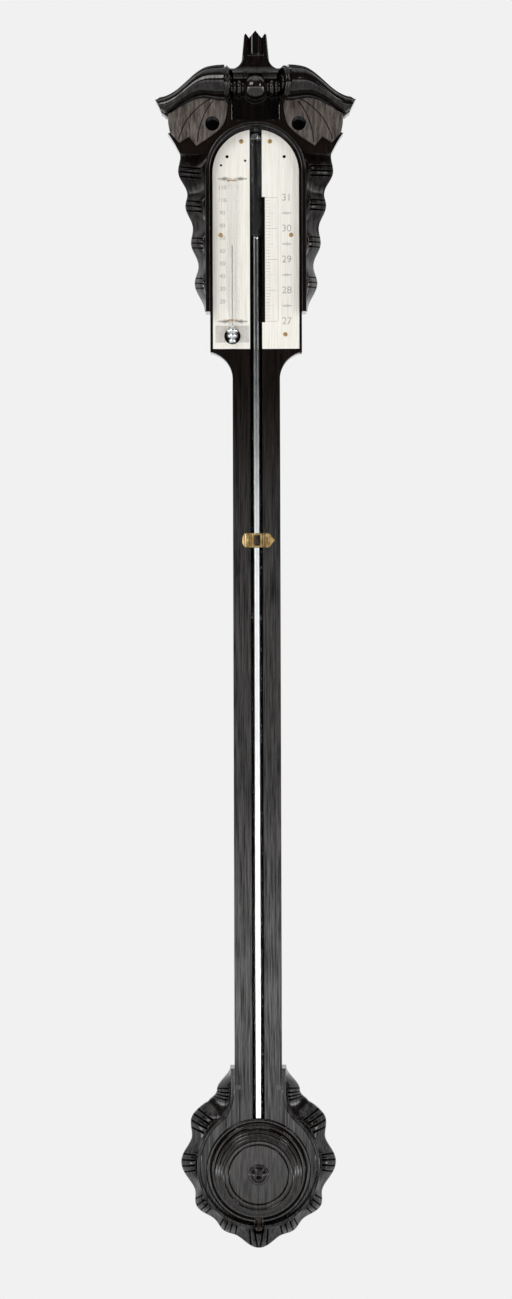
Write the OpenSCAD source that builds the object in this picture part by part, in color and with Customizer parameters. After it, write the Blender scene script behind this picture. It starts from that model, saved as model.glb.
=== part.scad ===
// Stick barometer with a carved hood, register plates, a thermometer and a turned cistern cover.
// X runs to the right, Y back to the wall and Z up. The origin is at the mouth of the hanging hole.

/* [Case] */
// Width of the head behind the register plates
head_w = 75.4; // [72:0.1:80]
// Thickness of the backboard from the wall to its face
case_d = 24; // [23:0.5:28]
// Distance from the hanging hole down to the centre of the head's arch
arch_drop = 15.7; // [10:0.1:22]
// Length of the head below the centre of its arch
head_len = 147; // [142:0.5:160]
// Radius of the hollow shoulders under the head
shoulder_r = 22; // [20:0.5:28]
// Width of the shaft
shaft_w = 39; // [36:0.5:44]
// Distance from the head's lower edge to the centre of the round foot
shaft_len = 669.8; // [640:0.1:700]
// Radius of the round foot
foot_r = 47.5; // [47.2:0.1:52]
// Radius of the hollow between the shaft and the foot
foot_hollow_r = 34; // [28:0.5:38]
// Diameter of the hanging hole in the back
hang_d = 8; // [5:0.1:10]
// Depth of the hanging hole
hang_depth = 10; // [6:0.5:11]

/* [Barometer tube] */
// Outer diameter of the glass tube
tube_d = 8.4; // [7:0.1:9]
// Bore of the glass tube
tube_bore = 6; // [3:0.1:6]
// Distance from the board's face down to the front of the tube
tube_inset = 0.3; // [0.2:0.05:0.8]
// Distance from the top of the head down to the top of the tube
tube_top_gap = 4.7; // [3:0.1:10]
// Height of the mercury above the level in the cistern
mercury_head = 757; // [700:1:785]

/* [Tube clip] */
// Distance from the head's lower edge down to the clip
clip_drop = 155.3; // [60:0.1:400]
// Height of the clip
clip_h = 12; // [8:0.5:16]
// Thickness of the clip
clip_t = 1.2; // [0.8:0.1:1.6]
// Length of each of the clip's ears
clip_ear = 7; // [6:0.1:9]

/* [Register plates] */
// Thickness of the plates
plate_t = 1.6; // [1:0.1:2.4]
// Width of the open strip between the plates
plate_gap = 10; // [9.8:0.1:12]
// Margin of bare wood round the plates
plate_margin = 2.2; // [1.5:0.1:3]
// Depth of the index cut in the weather plate's inner edge
index_cut_w = 2.5; // [1:0.1:4]
// Length of the index cut
index_cut_len = 103.3; // [80:0.1:115]
// Diameter of the heads of the plate screws
plate_screw_d = 3.6; // [3:0.1:4.2]

/* [Thermometer] */
// Diameter of the glass stem
stem_d = 6; // [5:0.1:6.6]
// Length of the stem above the bulb
stem_len = 122; // [100:0.5:126]
// Diameter of the bulb
bulb_d = 10.6; // [8:0.1:11.6]
// Length of the ribbed bulb
bulb_len = 13; // [11:0.5:14]
// Distance of the stem from the middle of the case
stem_x = 19.5; // [18:0.1:21]
// Length of the mercury thread above the bulb
thread_len = 68; // [10:1:95]

/* [Hood] */
// Thickness of the rim round the head
rim_t = 3.7; // [3:0.1:5]
// Height of the rim's front edge above the board's face
rim_proud = 10; // [8:0.5:14]
// Length of the rim's legs below the centre of the arch
leg_len = 114.8; // [105:0.1:130]
// Height of the leaf board above the board's face
leaf_board_proud = 3; // [2:0.5:5]
// Thickness of the raised leaves
leaf_t = 2.5; // [1.5:0.1:4]
// Diameter of the drilled eyes
eye_d = 11.8; // [8:0.1:13]
// Depth of the drilled eyes
eye_depth = 11; // [4:0.5:14]

/* [Crest] */
// Overall width of the crest
crest_w = 165.2; // [158:0.2:176]
// Height of the swan necks' inner ends above the top of the rim
arm_rise = 31.7; // [29:0.1:36]
// Diameter of the rosettes that close the swan necks
rosette_d = 28.8; // [24:0.2:30]
// Thickness of the rosettes
rosette_t = 5; // [4:0.1:6]
// Diameter of the turned ball between the rosettes
ball_d = 21; // [16:0.2:22]
// Width of the finial's root between the swan necks
root_w = 39; // [38:0.2:46]
// Height of the crown above the swan necks
crown_h = 30.5; // [24:0.5:38]

/* [Base carving] */
// Thickness of the collar's rim
collar_rim_t = 3; // [2:0.1:4]
// Height of the collar's rim above the board's face
collar_proud = 8; // [6:0.5:10]
// Length of the horns along the straight shaft
horn_len = 19.3; // [14:0.1:26]

/* [Cistern cover] */
// Distance from the centre of the foot down to the centre of the cover
cover_drop = 4.1; // [3.6:0.1:4.4]
// Diameter of the cover's flange
flange_d = 86; // [84:0.2:86.4]
// Thickness of the flange
flange_t = 2.2; // [1.6:0.1:3]
// Diameter of the cover's drum
drum_d = 71; // [70:0.2:74]
// Height of the cover above the board's face
cover_h = 24.5; // [24:0.5:30]
// Thickness of the cover's wall
cover_wall = 3.5; // [3:0.1:4]
// Length of the spigot that sits in the recess
spigot_len = 4; // [3:0.5:5]
// Diameter of the turned button
button_d = 17; // [12:0.5:20]

/* [Cistern] */
// Outer diameter of the cistern
cistern_d = 32.8; // [31.6:0.2:33.2]
// Inner diameter of the cistern
cistern_bore = 26.4; // [26:0.2:27]
// Length of the cistern's wooden body
cistern_len = 32.4; // [30:0.2:33]
// Distance from the cover's centre up to the top of the cistern's cap
cistern_rise = 21; // [20:0.2:22]
// Thickness of the cistern's cap
cap_t = 4; // [3:0.2:5]
// Thickness of the leather base
leather_t = 1.2; // [0.8:0.1:1.6]
// Height of the ring that clamps the leather
ring_h = 4; // [3.6:0.1:4.4]

/* [Portable screw] */
// Diameter of the portable screw
screw_d = 5.8; // [5:0.1:6.4]
// Length of the portable screw below its pad
screw_len = 29; // [24:0.5:31]
// Diameter of the pressure pad
pad_d = 18; // [14:0.5:20]
// Thickness of the pressure pad
pad_t = 3; // [2.6:0.1:3.2]
// Height of the bridge that the screw turns in
bridge_h = 5; // [4:0.2:5.4]

/* [Hidden] */
$fn = 64;

// Colours of the real materials
polished_wood = "#241a16";
carved_wood = "#1c1412";
turned_wood = "#2a1f1a";
ivory = "#efece4";
glass = "#c8d4d6";
mercury = "#c9ccd0";
brass = "#b79a5c";
boxwood = "#b98f52";
calfskin = "#8a6a4a";
cork = "#a9855a";

// Clearances
glue = 0.1;        // joint between pieces that are glued together
spigot_clear = 0.2;
loose = 0.3;       // gap between a moving piece and a fixed one
groove_clear = 0.75;
notch_clear = 0.6; // round the portable screw, in the collar's notch
collar_fit = 0.15; // between the foot's edge and the collar
fit = 0.05;        // running fit of the screw, and of a shank in its hole
deep = 1;          // how far a cut runs past the face that it opens

// Levels of the case, from the hanging hole
arch_z = -arch_drop;
head_top = arch_z + head_w / 2;
head_bottom = arch_z - head_len;
foot_z = head_bottom - shaft_len;
cover_z = foot_z - cover_drop;
face = case_d;
lap_len = 30;          // length of the shaft board's tongue behind the head
lap_t = case_d / 2;

// The tube and its groove
tube_depth = case_d - tube_inset - tube_d / 2;
tube_top = head_top - tube_top_gap;
groove_r = tube_d / 2 + groove_clear;

// The cistern, upright behind the cover
recess_floor = 10.9;
air_space = 4.4;       // above the mercury in the cistern
tube_lift = 10;        // height of the tube's open end above the leather
bridge_gap = 1.1;      // between the leather's ring and the bridge
recess_r = drum_d / 2 - cover_wall + spigot_clear;
cistern_depth = recess_floor + glue + cistern_d / 2;
cap_top = cover_z + cistern_rise;
body_top = cap_top - cap_t;
body_bottom = body_top - cistern_len;
ring_top = body_bottom - leather_t;
ring_bottom = ring_top - ring_h;
pool_level = body_top - air_space;
tube_foot = body_bottom + tube_lift;
pad_top = ring_top - loose;
pad_bottom = pad_top - pad_t;
bridge_top = ring_bottom - bridge_gap;
bridge_bottom = bridge_top - bridge_h;
pin_tip = pad_bottom - screw_len;

// The hollow between the shaft and the foot touches both
hollow_x = shaft_w / 2 + foot_hollow_r;
hollow_z = foot_z + sqrt(pow(foot_r + foot_hollow_r, 2) - pow(hollow_x, 2));
hollow_turn = atan2(hollow_z - foot_z, hollow_x);
hollow_lap = 0.02;
foot_arc = foot_r * (90 + hollow_turn) * PI / 180;
hollow_arc = foot_hollow_r * hollow_turn * PI / 180;
collar_path = foot_arc + hollow_arc + horn_len;

// The hood
rim_r = head_w / 2 + rim_t;
rim_top = arch_z + rim_r;
leg_end = arch_z - leg_len;
hood_back = 3;
leaf_board_front = face + leaf_board_proud;
leaf_front = leaf_board_front + leaf_t;
rim_front = face + rim_proud;

// The crest
root_gap = 2.3;        // between the rim and the finial's root
spindle_drop = 3.7;    // of the spindle below the swan necks' middle line
rosette_clear = 0.5;   // between the root and the rosettes
cheek_clear = 0.5;     // between the root's cheeks and the rosettes
root_bottom = rim_top + root_gap;
arm_start = root_w / 2 + rosette_clear + rosette_t;
arm_len = crest_w / 2 - arm_start;
arm_z = rim_top + arm_rise;
arm_back = 6;
root_front = 19;
spindle_depth = root_front + loose + ball_d / 2;
spindle_z = arm_z - spindle_drop;
crown_bottom = arm_z + rosette_d / 2;

// The thermometer and the plates
plate_front = face + plate_t;
plate_r = head_w / 2 - plate_margin;
plate_bottom = head_bottom + plate_margin;
stem_depth = plate_front + fit + stem_d / 2;
bulb_gap = 4;          // below the bulb, to the plate's lower edge
bulb_bottom = plate_bottom + bulb_gap;
bulb_top = bulb_bottom + bulb_len;
stem_top = bulb_top + stem_len;
low_staple = 6.2;      // above the bulb
high_staple = 1.2;     // below the stem's top
staple_levels = [bulb_top + low_staple, stem_top - high_staple];

// Stands a flat outline, drawn in X and Z, between two depths in front of the wall
module slab(back, front) {
    translate([0, -back, 0]) rotate([90, 0, 0]) linear_extrude(front - back) children();
}

// Turns a half profile, drawn as radius and depth, about an axis that points out of the wall
module turned_out(x, z, depth = 0) {
    translate([x, -depth, z]) rotate([90, 0, 0]) rotate_extrude() children();
}

// Both hands of a piece that is drawn on the right
module both_sides() {
    children();
    mirror([1, 0, 0]) children();
}

// Joins a row of closed sections with the same number of points into one solid
module loft(sections) {
    count = len(sections[0]);
    last = len(sections) - 1;
    sides = [
        for (i = [0 : last - 1], j = [0 : count - 1])
            let (a = i * count + j, b = i * count + (j + 1) % count)
                each [[a, b + count, b], [a, a + count, b + count]]
    ];
    first_cap = [for (j = [0 : count - 1]) j];
    last_cap = [for (j = [count - 1 : -1 : 0]) last * count + j];
    polyhedron([for (s = sections) each s], concat([first_cap, last_cap], sides));
}

// Value of a carved edge at a place on it: cosine waves between its crests and hollows
function wave_step(list, at, i) =
    at <= list[i + 1][0] || i + 2 >= len(list)
        ? let (t = (at - list[i][0]) / (list[i + 1][0] - list[i][0]), c = (1 - cos(180 * t)) / 2)
            list[i][1] + (list[i + 1][1] - list[i][1]) * c
        : wave_step(list, at, i + 1);
function wave(list, at) = wave_step(list, at, 0);

// A round-headed screw that comes out of a face, with its shank behind the face
module screw(x, z, depth, head_d, shank_d, shank_len) {
    head_h = head_d / 4;
    dome_r = head_d * 0.65;
    turned_out(x, z, depth - shank_len) union() {
        square([shank_d / 2, shank_len + fit]);
        intersection() {
            translate([0, shank_len + fit]) square([head_d / 2, head_h]);
            translate([0, shank_len + fit + head_h - dome_r]) circle(dome_r);
        }
    }
}

// The case: a head board, and a shaft board with the round foot, lapped together behind the head
module head_outline() {
    translate([0, arch_z]) circle(head_w / 2);
    translate([-head_w / 2, head_bottom]) square([head_w, head_len]);
}

module shaft_outline() {
    difference() {
        translate([-head_w / 2, head_bottom - shoulder_r]) square([head_w, shoulder_r - glue]);
        for (s = [-1, 1]) {
            translate([s * (shaft_w / 2 + shoulder_r), head_bottom - shoulder_r]) circle(shoulder_r);
        }
    }
    translate([-shaft_w / 2, foot_z]) square([shaft_w, shaft_len - glue]);
    translate([0, foot_z]) circle(foot_r);
}

// The hollows between the shaft and the foot, drawn a hair wide so that they join both
module foot_hollows_outline() {
    difference() {
        polygon([[-hollow_x, hollow_z], [hollow_x, hollow_z], [0, foot_z]]);
        for (s = [-1, 1]) translate([s * hollow_x, hollow_z]) circle(foot_hollow_r - hollow_lap);
    }
}

plate_screw_shank = 2;
plate_screw_len = 8;
top_screw_x = 11.7;
top_screw_drop = 12;
middle_screw_x = 28.9;
middle_screw_drop = 51.2;
low_screw_x = 24;
low_screw_rise = 11.8;
top_screw = [top_screw_x, head_top - top_screw_drop];
middle_screw = [middle_screw_x, arch_z - middle_screw_drop];
low_screw = [low_screw_x, plate_bottom + low_screw_rise];
plug_d = 4.4;
plug_depth = 6;
plug_edge = 0.6;       // wood left between a plug and the shaft's side
plug_rise = 3;
plug_x = shaft_w / 2 - plug_d / 2 - plug_edge;
plug_z = hollow_z + plug_rise;
clip_z = head_bottom - clip_drop;
clip_inner_r = tube_d / 2 + loose;
clip_crown = 0.9;      // how much the half-round middle is thicker than the ears
clip_outer_r = clip_inner_r + clip_t + clip_crown;
clip_pin_x = groove_r + clip_ear * 0.45;
strap_t = 0.8;
strap_h = 8;
strap_ear = 9;
strap_r = cistern_d / 2 + glue + strap_t;
strap_z = (body_top + body_bottom) / 2;
strap_screw_x = strap_r + strap_ear / 2;
small_screw_d = 4;
small_shank = 2;
small_shank_len = 5;
bridge_foot_w = 28;
bridge_foot_t = 2.5;
bridge_foot_h = 6;
bridge_w = 14;
bridge_screw_x = 10.8;
bridge_screw_z = bridge_top - bridge_foot_h / 2;

// Every plate screw as its place across and its level
plate_screw_spots = [
    [-top_screw[0], top_screw[1]], top_screw, [-middle_screw[0], middle_screw[1]], middle_screw, low_screw
];

// Groove for the tube, open to the front, with a round end at the top
module tube_groove() {
    translate([0, -tube_depth, cover_z]) cylinder(r = groove_r, h = tube_top - cover_z);
    translate([-groove_r, -case_d - deep, cover_z])
        cube([2 * groove_r, case_d + deep - tube_depth, tube_top - cover_z]);
    turned_out(0, tube_top, tube_depth - groove_r) square([groove_r, case_d]);
}

module head_board() {
    color(polished_wood) difference() {
        slab(0, case_d) head_outline();
        tube_groove();
        // Hanging hole
        turned_out(0, 0, -deep) square([hang_d / 2, hang_depth + deep]);
        // Housing for the shaft board's tongue
        slab(-deep, lap_t) translate([-shaft_w / 2 - glue, head_bottom - deep])
            square([shaft_w + 2 * glue, lap_len + glue + deep]);
        // Seat of the thermometer's bulb
        turned_out(-stem_x, (bulb_top + bulb_bottom) / 2, stem_depth - bulb_d / 2 - loose)
            square([bulb_len / 2 + loose, case_d]);
        for (p = plate_screw_spots) {
            turned_out(p[0], p[1], plate_front - plate_screw_len - glue)
                square([plate_screw_shank / 2 + fit, case_d]);
        }
    }
}

module backboard() {
    color(polished_wood) difference() {
        union() {
            slab(0, case_d) shaft_outline();
            slab(0, case_d) foot_hollows_outline();
            slab(0, lap_t - glue) translate([-shaft_w / 2, head_bottom - deep])
                square([shaft_w, lap_len + deep]);
        }
        tube_groove();
        // Round recess for the cistern
        turned_out(0, cover_z, recess_floor) square([recess_r, case_d]);
        // Holes for plugs, pins and screws
        for (s = [-1, 1]) {
            turned_out(s * plug_x, plug_z, case_d - plug_depth - glue)
                square([plug_d / 2 + fit, case_d]);
            turned_out(s * clip_pin_x, clip_z, case_d - small_shank_len - glue)
                square([small_shank / 2 + fit, case_d]);
            turned_out(s * strap_screw_x, strap_z, recess_floor - small_shank_len)
                square([small_shank / 2 + fit, case_d]);
            turned_out(s * bridge_screw_x, bridge_screw_z, recess_floor - small_shank_len)
                square([small_shank / 2 + fit, case_d]);
        }
    }
}

// The hood and its carvings
wing_rise = 15.7;      // height of the side carvings' tops above the centre of the arch
wing_top = arch_z + wing_rise;
wing_short = 2;        // of the carving's lower end above the leg's
wing_bottom = leg_end + wing_short;
wing_len = wing_top - wing_bottom;
wing_back = 4;
wing_edge = 11;        // depth of the scalloped edge
wing_swell = 1.8;      // how far the carving swells at a crest and sinks at a hollow
wing_w = (crest_w / 2 - rim_r) * 0.55;   // greatest reach beyond the rim
// Share of that reach down the carving's length, hollow and crest in turn
wing_shares = [
    [0, 0.92], [0.1, 1], [0.25, 0.67], [0.32, 0.74], [0.47, 0.47], [0.56, 0.54], [0.71, 0.27], [0.82, 0.41],
    [1, 0.05]
];
wing_reach = [for (p = wing_shares) [p[0], p[1] * wing_w]];
wing_swells = [for (i = [0 : len(wing_reach) - 1]) [wing_reach[i][0], i % 2 == 0 ? -1 : 1]];
wing_steps = 40;
front_steps = 5;

// Half-width of the hood's rim at a level
function rim_x(z) = z > arch_z ? sqrt(pow(rim_r, 2) - pow(z - arch_z, 2)) : rim_r;

// The swan necks: fall of the middle line and height of the moulding along their length
arm_fall = [[0, 0], [0.24, 0.4], [0.95, -18.8], [1, -18.4]];
arm_height = [[0, 29], [0.75, 15.9], [0.92, 15.7], [1, 11]];
arm_front = spindle_depth + rosette_d / 2;
arm_taper = 12;        // how much less the tip stands out than the inner end
arm_steps = 16;
// The moulding's section: share of the depth from the back, and of the height from the middle
arm_moulding = [
    [0, -0.5], [0, 0.5], [0.8, 0.5], [0.8, 0.42], [0.87, 0.4], [0.96, 0.26], [1, 0.06], [0.97, -0.14],
    [0.88, -0.29], [0.74, -0.37], [0.62, -0.5]
];
function arm_share(x) = max(0, (x - arm_start) / arm_len);
function arm_under(x) = arm_z + wave(arm_fall, arm_share(x)) - wave(arm_height, arm_share(x)) / 2;
arm_tip_inset = 6.6;
leaf_board_out = crest_w / 2 - arm_tip_inset;

module head_opening(r) {
    translate([0, arch_z]) circle(r);
    translate([-r, leg_end - deep]) square([2 * r, arch_z - leg_end + deep]);
}

module rim_outline() {
    intersection() {
        head_opening(rim_r);
        translate([-rim_r, leg_end]) square([2 * rim_r, rim_top - leg_end]);
    }
}

// Corners of the leaf board under the swan neck's tip: share of the side carving's reach, height above it
board_corners = [[1.37, 25.6], [1.31, 16.5], [1.11, 8.3]];

module leaf_board_outline() {
    under = [for (i = [0 : 12]) arm_start + (leaf_board_out - arm_start) * i / 12];
    right = concat(
        [[root_w / 2 + glue, root_bottom - glue], [root_w / 2 + glue, arm_under(arm_start) - glue]],
        [for (x = under) [x, arm_under(x) - glue]],
        [
            for (p = board_corners) [rim_r + p[0] * wing_w, wing_top + p[1]],
            [rim_r + wing_reach[0][1], wing_top]
        ]
    );
    left = [for (i = [len(right) - 1 : -1 : 0]) [-right[i][0], right[i][1]]];
    polygon(concat(right, left));
}

// One carved leaf with two points at its lower end: corners from the rim's side and the side carving's top
leaf_corners = [
    [-18, 60], [-18, 41], [-14.4, 25], [-4.9, 16], [7.3, 6], [13.4, 13.6], [21.3, 8.6], [29, 17], [30, 26],
    [30, 60]
];

module leaf_outline() {
    polygon([for (p = leaf_corners) [rim_r + p[0], wing_top + p[1]]]);
}

eye_inset = 5.9;
eye_rise = 24.5;
eye_x = rim_r - eye_inset;
eye_z = wing_top + eye_rise;

module hood_arch() {
    color(carved_wood) difference() {
        union() {
            slab(hood_back, rim_front) rim_outline();
            slab(hood_back, leaf_board_front) leaf_board_outline();
            for (s = [0, 1]) mirror([s, 0, 0]) slab(hood_back, leaf_front) intersection() {
                leaf_board_outline();
                leaf_outline();
            }
        }
        slab(0, rim_front + deep) head_opening(head_w / 2 + glue);
        for (s = [-1, 1]) turned_out(s * eye_x, eye_z, leaf_front - eye_depth)
            square([eye_d / 2, rim_front]);
    }
}

// A side carving: the front falls from the rim to the scalloped edge and swells at each crest
module side_carving() {
    loft([
        for (i = [0 : wing_steps])
            let (
                t = 1 - i / wing_steps,
                z = wing_top - glue - (wing_len - glue) * t,
                inner = rim_x(z) + glue,
                outer = rim_r + wave(wing_reach, t),
                swell = wing_swell * wave(wing_swells, t)
            )
            concat(
                [[inner, -wing_back, z]],
                [
                    for (j = [0 : front_steps])
                        let (
                            f = j / front_steps,
                            fall = (leaf_board_front - wing_edge) * pow(f, 1.3),
                            rise = swell * sin(180 * f)
                        )
                        [inner + (outer - inner) * f, -(leaf_board_front - fall + rise), z]
                ],
                [[outer, -wing_back, z]]
            )
    ]);
}
module side_carving_right() color(carved_wood) side_carving();
module side_carving_left() color(carved_wood) mirror([1, 0, 0]) side_carving();

// A swan neck: one moulding carried along a falling, narrowing line
module swan_neck() {
    loft([
        for (i = [0 : arm_steps])
            let (
                t = i / arm_steps,
                middle = arm_z + wave(arm_fall, t),
                high = wave(arm_height, t),
                out = arm_front - arm_taper * t - arm_back
            )
            [
                for (p = arm_moulding)
                    [arm_start + arm_len * t, -(arm_back + out * p[0]), middle + high * p[1]]
            ]
    ]);
}
module swan_neck_right() color(carved_wood) swan_neck();
module swan_neck_left() color(carved_wood) mirror([1, 0, 0]) swan_neck();

// Discs with a raised border and a boss that close the swan necks' inner ends
module scroll_rosettes() {
    r = rosette_d / 2;
    step = 1.2;
    color(carved_wood) both_sides()
        translate([arm_start - glue, -spindle_depth, arm_z]) rotate([0, -90, 0]) rotate_extrude() union() {
            square([r, rosette_t - glue - 2 * step]);
            difference() {
                square([r - step, rosette_t - glue - step]);
                translate([0, rosette_t - glue - 2 * step]) square([r - 3 * step, step]);
            }
            square([r / 2, rosette_t - glue]);
        }
}

// Turned ball with two beads on each side, between the rosettes
module crest_spindle() {
    half = arm_start - rosette_t - glue;
    core_r = 4.4;
    beads = [[13.4, 6.7, 2.1], [17.3, 5.7, 1.5]];   // place from the middle, outer radius, rounding
    color(turned_wood) translate([0, -spindle_depth, spindle_z]) rotate([0, 90, 0]) rotate_extrude()
        intersection() {
            translate([0, -half]) square([ball_d, 2 * half]);
            union() {
                circle(ball_d / 2);
                translate([0, -half]) square([core_r, 2 * half]);
                for (b = beads, s = [-1, 1]) translate([b[1] - b[2], s * b[0]]) circle(b[2]);
            }
        }
}

// Crown with three points, on the flared root that the swan necks meet
crown_top = crown_bottom + crown_h;
crown_w = 22;
crown_flare = 11;
crown_front = 25;
flare_front = 32;      // depth of the flare's lip over the spindle
flare_lip = 1.5;       // thickness of that lip
flare_bottom = spindle_z + ball_d / 2 + loose;
gouge_r = 6.2;
gouge_rise = 10;
// Corners beside the middle point: distance from the middle and depth below the top
crown_corners = [[9.2, 4.8], [8, 3.4], [5.2, 6.6]];

module finial_outline() {
    flare = [
        for (a = [0 : 15 : 90])
            [crown_w / 2 + (root_w - crown_w) / 2 * (1 - sin(a)), crown_bottom + crown_flare * (1 - cos(a))]
    ];
    right = concat(
        [[root_w / 2, root_bottom]],
        flare,
        [for (p = crown_corners) [p[0], crown_top - p[1]]]
    );
    left = [for (i = [len(right) - 1 : -1 : 0]) [-right[i][0], right[i][1]]];
    polygon(concat(right, [[0, crown_top]], left));
}

// Cheeks of the root, behind the rosettes and up against the swan necks' ends
module root_cheeks() {
    half = arm_start - glue;
    bottom = arm_under(arm_start);
    slab(arm_back, spindle_depth - rosette_d / 2 - cheek_clear)
        translate([-half, bottom]) square([2 * half, crown_bottom - bottom]);
}

// The crown's front flares forward too, down to a lip over the spindle
module front_flare() {
    lip = flare_bottom + flare_lip;
    top = crown_bottom + crown_flare;
    curve = [
        for (a = [0 : 15 : 90])
            [crown_front + (flare_front - crown_front) * (1 - sin(a)), lip + (top - lip) * (1 - cos(a))]
    ];
    profile = concat([[arm_back, flare_bottom], [flare_front, flare_bottom]], curve, [[arm_back, top]]);
    intersection() {
        slab(arm_back, flare_front + deep) finial_outline();
        translate([-root_w / 2, 0, 0]) rotate([90, 0, 90]) linear_extrude(root_w)
            polygon([for (p = profile) [-p[0], p[1]]]);
    }
}

module crest_finial() {
    gouge_bottom = crown_bottom + gouge_rise;
    color(carved_wood) difference() {
        union() {
            root_cheeks();
            front_flare();
            slab(arm_back, root_front) finial_outline();
            slab(arm_back, crown_front) intersection() {
                finial_outline();
                translate([-root_w / 2, crown_bottom]) square([root_w, crown_h]);
            }
        }
        translate([0, -crown_front - gouge_r / 4, gouge_bottom]) {
            cylinder(r = gouge_r, h = crown_h);
            sphere(gouge_r);
        }
    }
}

// The collar round the foot
// Reach of the collar beyond the foot's edge, crest and hollow in turn, from the bottom up to the horn
collar_reach = [
    [0, 21.8], [0.095, 14.1], [0.133, 14.6], [0.2, 10.7], [0.28, 14.4], [0.35, 9.1], [0.468, 16.4],
    [0.56, 11.8], [0.645, 20.4], [0.755, 18.6], [0.88, 14.8], [1, 3.6]
];
collar_swells = [for (i = [0 : len(collar_reach) - 1]) [collar_reach[i][0], i % 2 == 0 ? 1 : -1]];
collar_front = face + collar_proud;
collar_back = 2;
collar_step = 27;      // depth of the carving where it leaves the rim
collar_edge = 12;      // depth of the scalloped edge
collar_edge_t = 6;
collar_swell = 1.5;
collar_steps = 48;     // sections on each side of the notch
// Notch that the portable screw's end stands in
notch_r = screw_d / 2 + notch_clear;
notch_floor = face - loose;
notch_draft = 0.2;
rim_draft = 0.2;       // slant of the rim's outer side
// Places of the sections along the foot's edge, from the bottom up
collar_stations = concat(
    [notch_r],
    [
        for (i = [0 : collar_steps])
            notch_r + notch_draft + (collar_path - notch_r - notch_draft) * i / collar_steps
    ]
);

// Point of the foot's edge and the direction out of it, at a distance along the edge from the bottom
function foot_edge(s) =
    s < foot_arc ? let (a = s / foot_r * 180 / PI)
        [foot_r * sin(a), foot_z - foot_r * cos(a), sin(a), -cos(a)]
    : s < foot_arc + hollow_arc ? let (a = hollow_turn - (s - foot_arc) / foot_hollow_r * 180 / PI)
        [hollow_x - foot_hollow_r * cos(a), hollow_z - foot_hollow_r * sin(a), cos(a), sin(a)]
    : [shaft_w / 2, hollow_z + s - foot_arc - hollow_arc, 1, 0];

// Section of the collar as distance from the foot's edge and depth, lower in the notch
function collar_section(s) =
    let (
        t = s / collar_path,
        reach = wave(collar_reach, t),
        swell = collar_swell * wave(collar_swells, t),
        highest = s > notch_r ? collar_front : notch_floor
    )
    concat(
        [[collar_fit, collar_back], [collar_fit, highest], [collar_rim_t, highest]],
        [[collar_rim_t + rim_draft, min(highest - rim_draft, collar_step)]],
        [
            for (j = [1 : front_steps])
                let (f = j / front_steps, fall = (collar_step - collar_edge) * pow(f, 1.3))
                [
                    collar_rim_t + rim_draft + (reach - collar_rim_t - rim_draft) * f,
                    min(highest - rim_draft, collar_step - fall + swell * sin(180 * f))
                ]
        ],
        [[reach, collar_edge - collar_edge_t], [(collar_rim_t + reach) / 2, collar_back]]
    );

// That section in its place, on the left (-1) or the right (1)
function collar_ring(s, side) =
    let (e = foot_edge(s))
    [for (p = collar_section(s)) [side * (e[0] + e[2] * p[0]), -p[1], e[1] + e[3] * p[0]]];

module base_collar() {
    last = len(collar_stations) - 1;
    color(carved_wood) loft(concat(
        [for (i = [last : -1 : 0]) collar_ring(collar_stations[i], -1)],
        [for (s = collar_stations) collar_ring(s, 1)]
    ));
}

module shaft_plugs() {
    color(turned_wood) both_sides() turned_out(plug_x, plug_z, case_d - plug_depth)
        square([plug_d / 2, plug_depth + loose]);
}

// The register plates
// Bare holes: place across, height above the centre of the arch and diameter
vent_holes = [[23.5, 13.2, 2.7], [28.5, 6.2, 2], [8.7, 9.9, 2]];
index_cut_drop = 19.8;
index_cut_top = arch_z - index_cut_drop;
staple_wire = 0.9;
staple_half = stem_d / 2 + fit + staple_wire / 2;

module plate_outline() {
    intersection() {
        union() {
            translate([0, arch_z]) circle(plate_r);
            translate([-plate_r, plate_bottom]) square([2 * plate_r, arch_z - plate_bottom]);
        }
        translate([plate_gap / 2, plate_bottom]) square([plate_r, head_top - plate_bottom]);
    }
}

module vent_hole(h) {
    translate([h[0], arch_z + h[1]]) circle(d = h[2]);
}

module screw_hole() {
    circle(d = plate_screw_shank + 2 * fit);
}

module weather_plate() {
    color(ivory) difference() {
        slab(face, plate_front) plate_outline();
        slab(0, plate_front + deep) {
            translate([0, index_cut_top - index_cut_len])
                square([plate_gap / 2 + index_cut_w, index_cut_len]);
            vent_hole(vent_holes[0]);
            for (p = [top_screw, middle_screw, low_screw]) translate(p) screw_hole();
        }
    }
}

module thermometer_plate() {
    color(ivory) difference() {
        mirror([1, 0, 0]) slab(face, plate_front) plate_outline();
        mirror([1, 0, 0]) slab(0, plate_front + deep) {
            for (h = vent_holes) vent_hole(h);
            for (p = [top_screw, middle_screw]) translate(p) screw_hole();
            translate([stem_x, (bulb_top + bulb_bottom) / 2]) circle(bulb_len / 2 + loose);
            for (z = staple_levels, s = [-1, 1]) {
                translate([stem_x + s * staple_half, z]) circle(d = staple_wire + 2 * fit);
            }
        }
    }
}

module plate_screws() {
    color(brass) for (p = plate_screw_spots) {
        screw(p[0], p[1], plate_front, plate_screw_d, plate_screw_shank, plate_screw_len);
    }
}

// The thermometer
// Ribs of the bulb: place down from its top and outer radius
bulb_rib = 2.4;
bulb_narrowing = [0, 0.7, 1.9];
bulb_ribs = [
    [bulb_rib, bulb_d / 2 - bulb_narrowing[0]], [bulb_len / 2, bulb_d / 2 - bulb_narrowing[1]],
    [bulb_len - bulb_rib, bulb_d / 2 - bulb_narrowing[2]]
];
bulb_cavity_inset = 2.9;
bulb_cavity_r = bulb_d / 2 - bulb_cavity_inset;
stem_bore_r = 0.5;
bulb_wall = 1.2;

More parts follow.
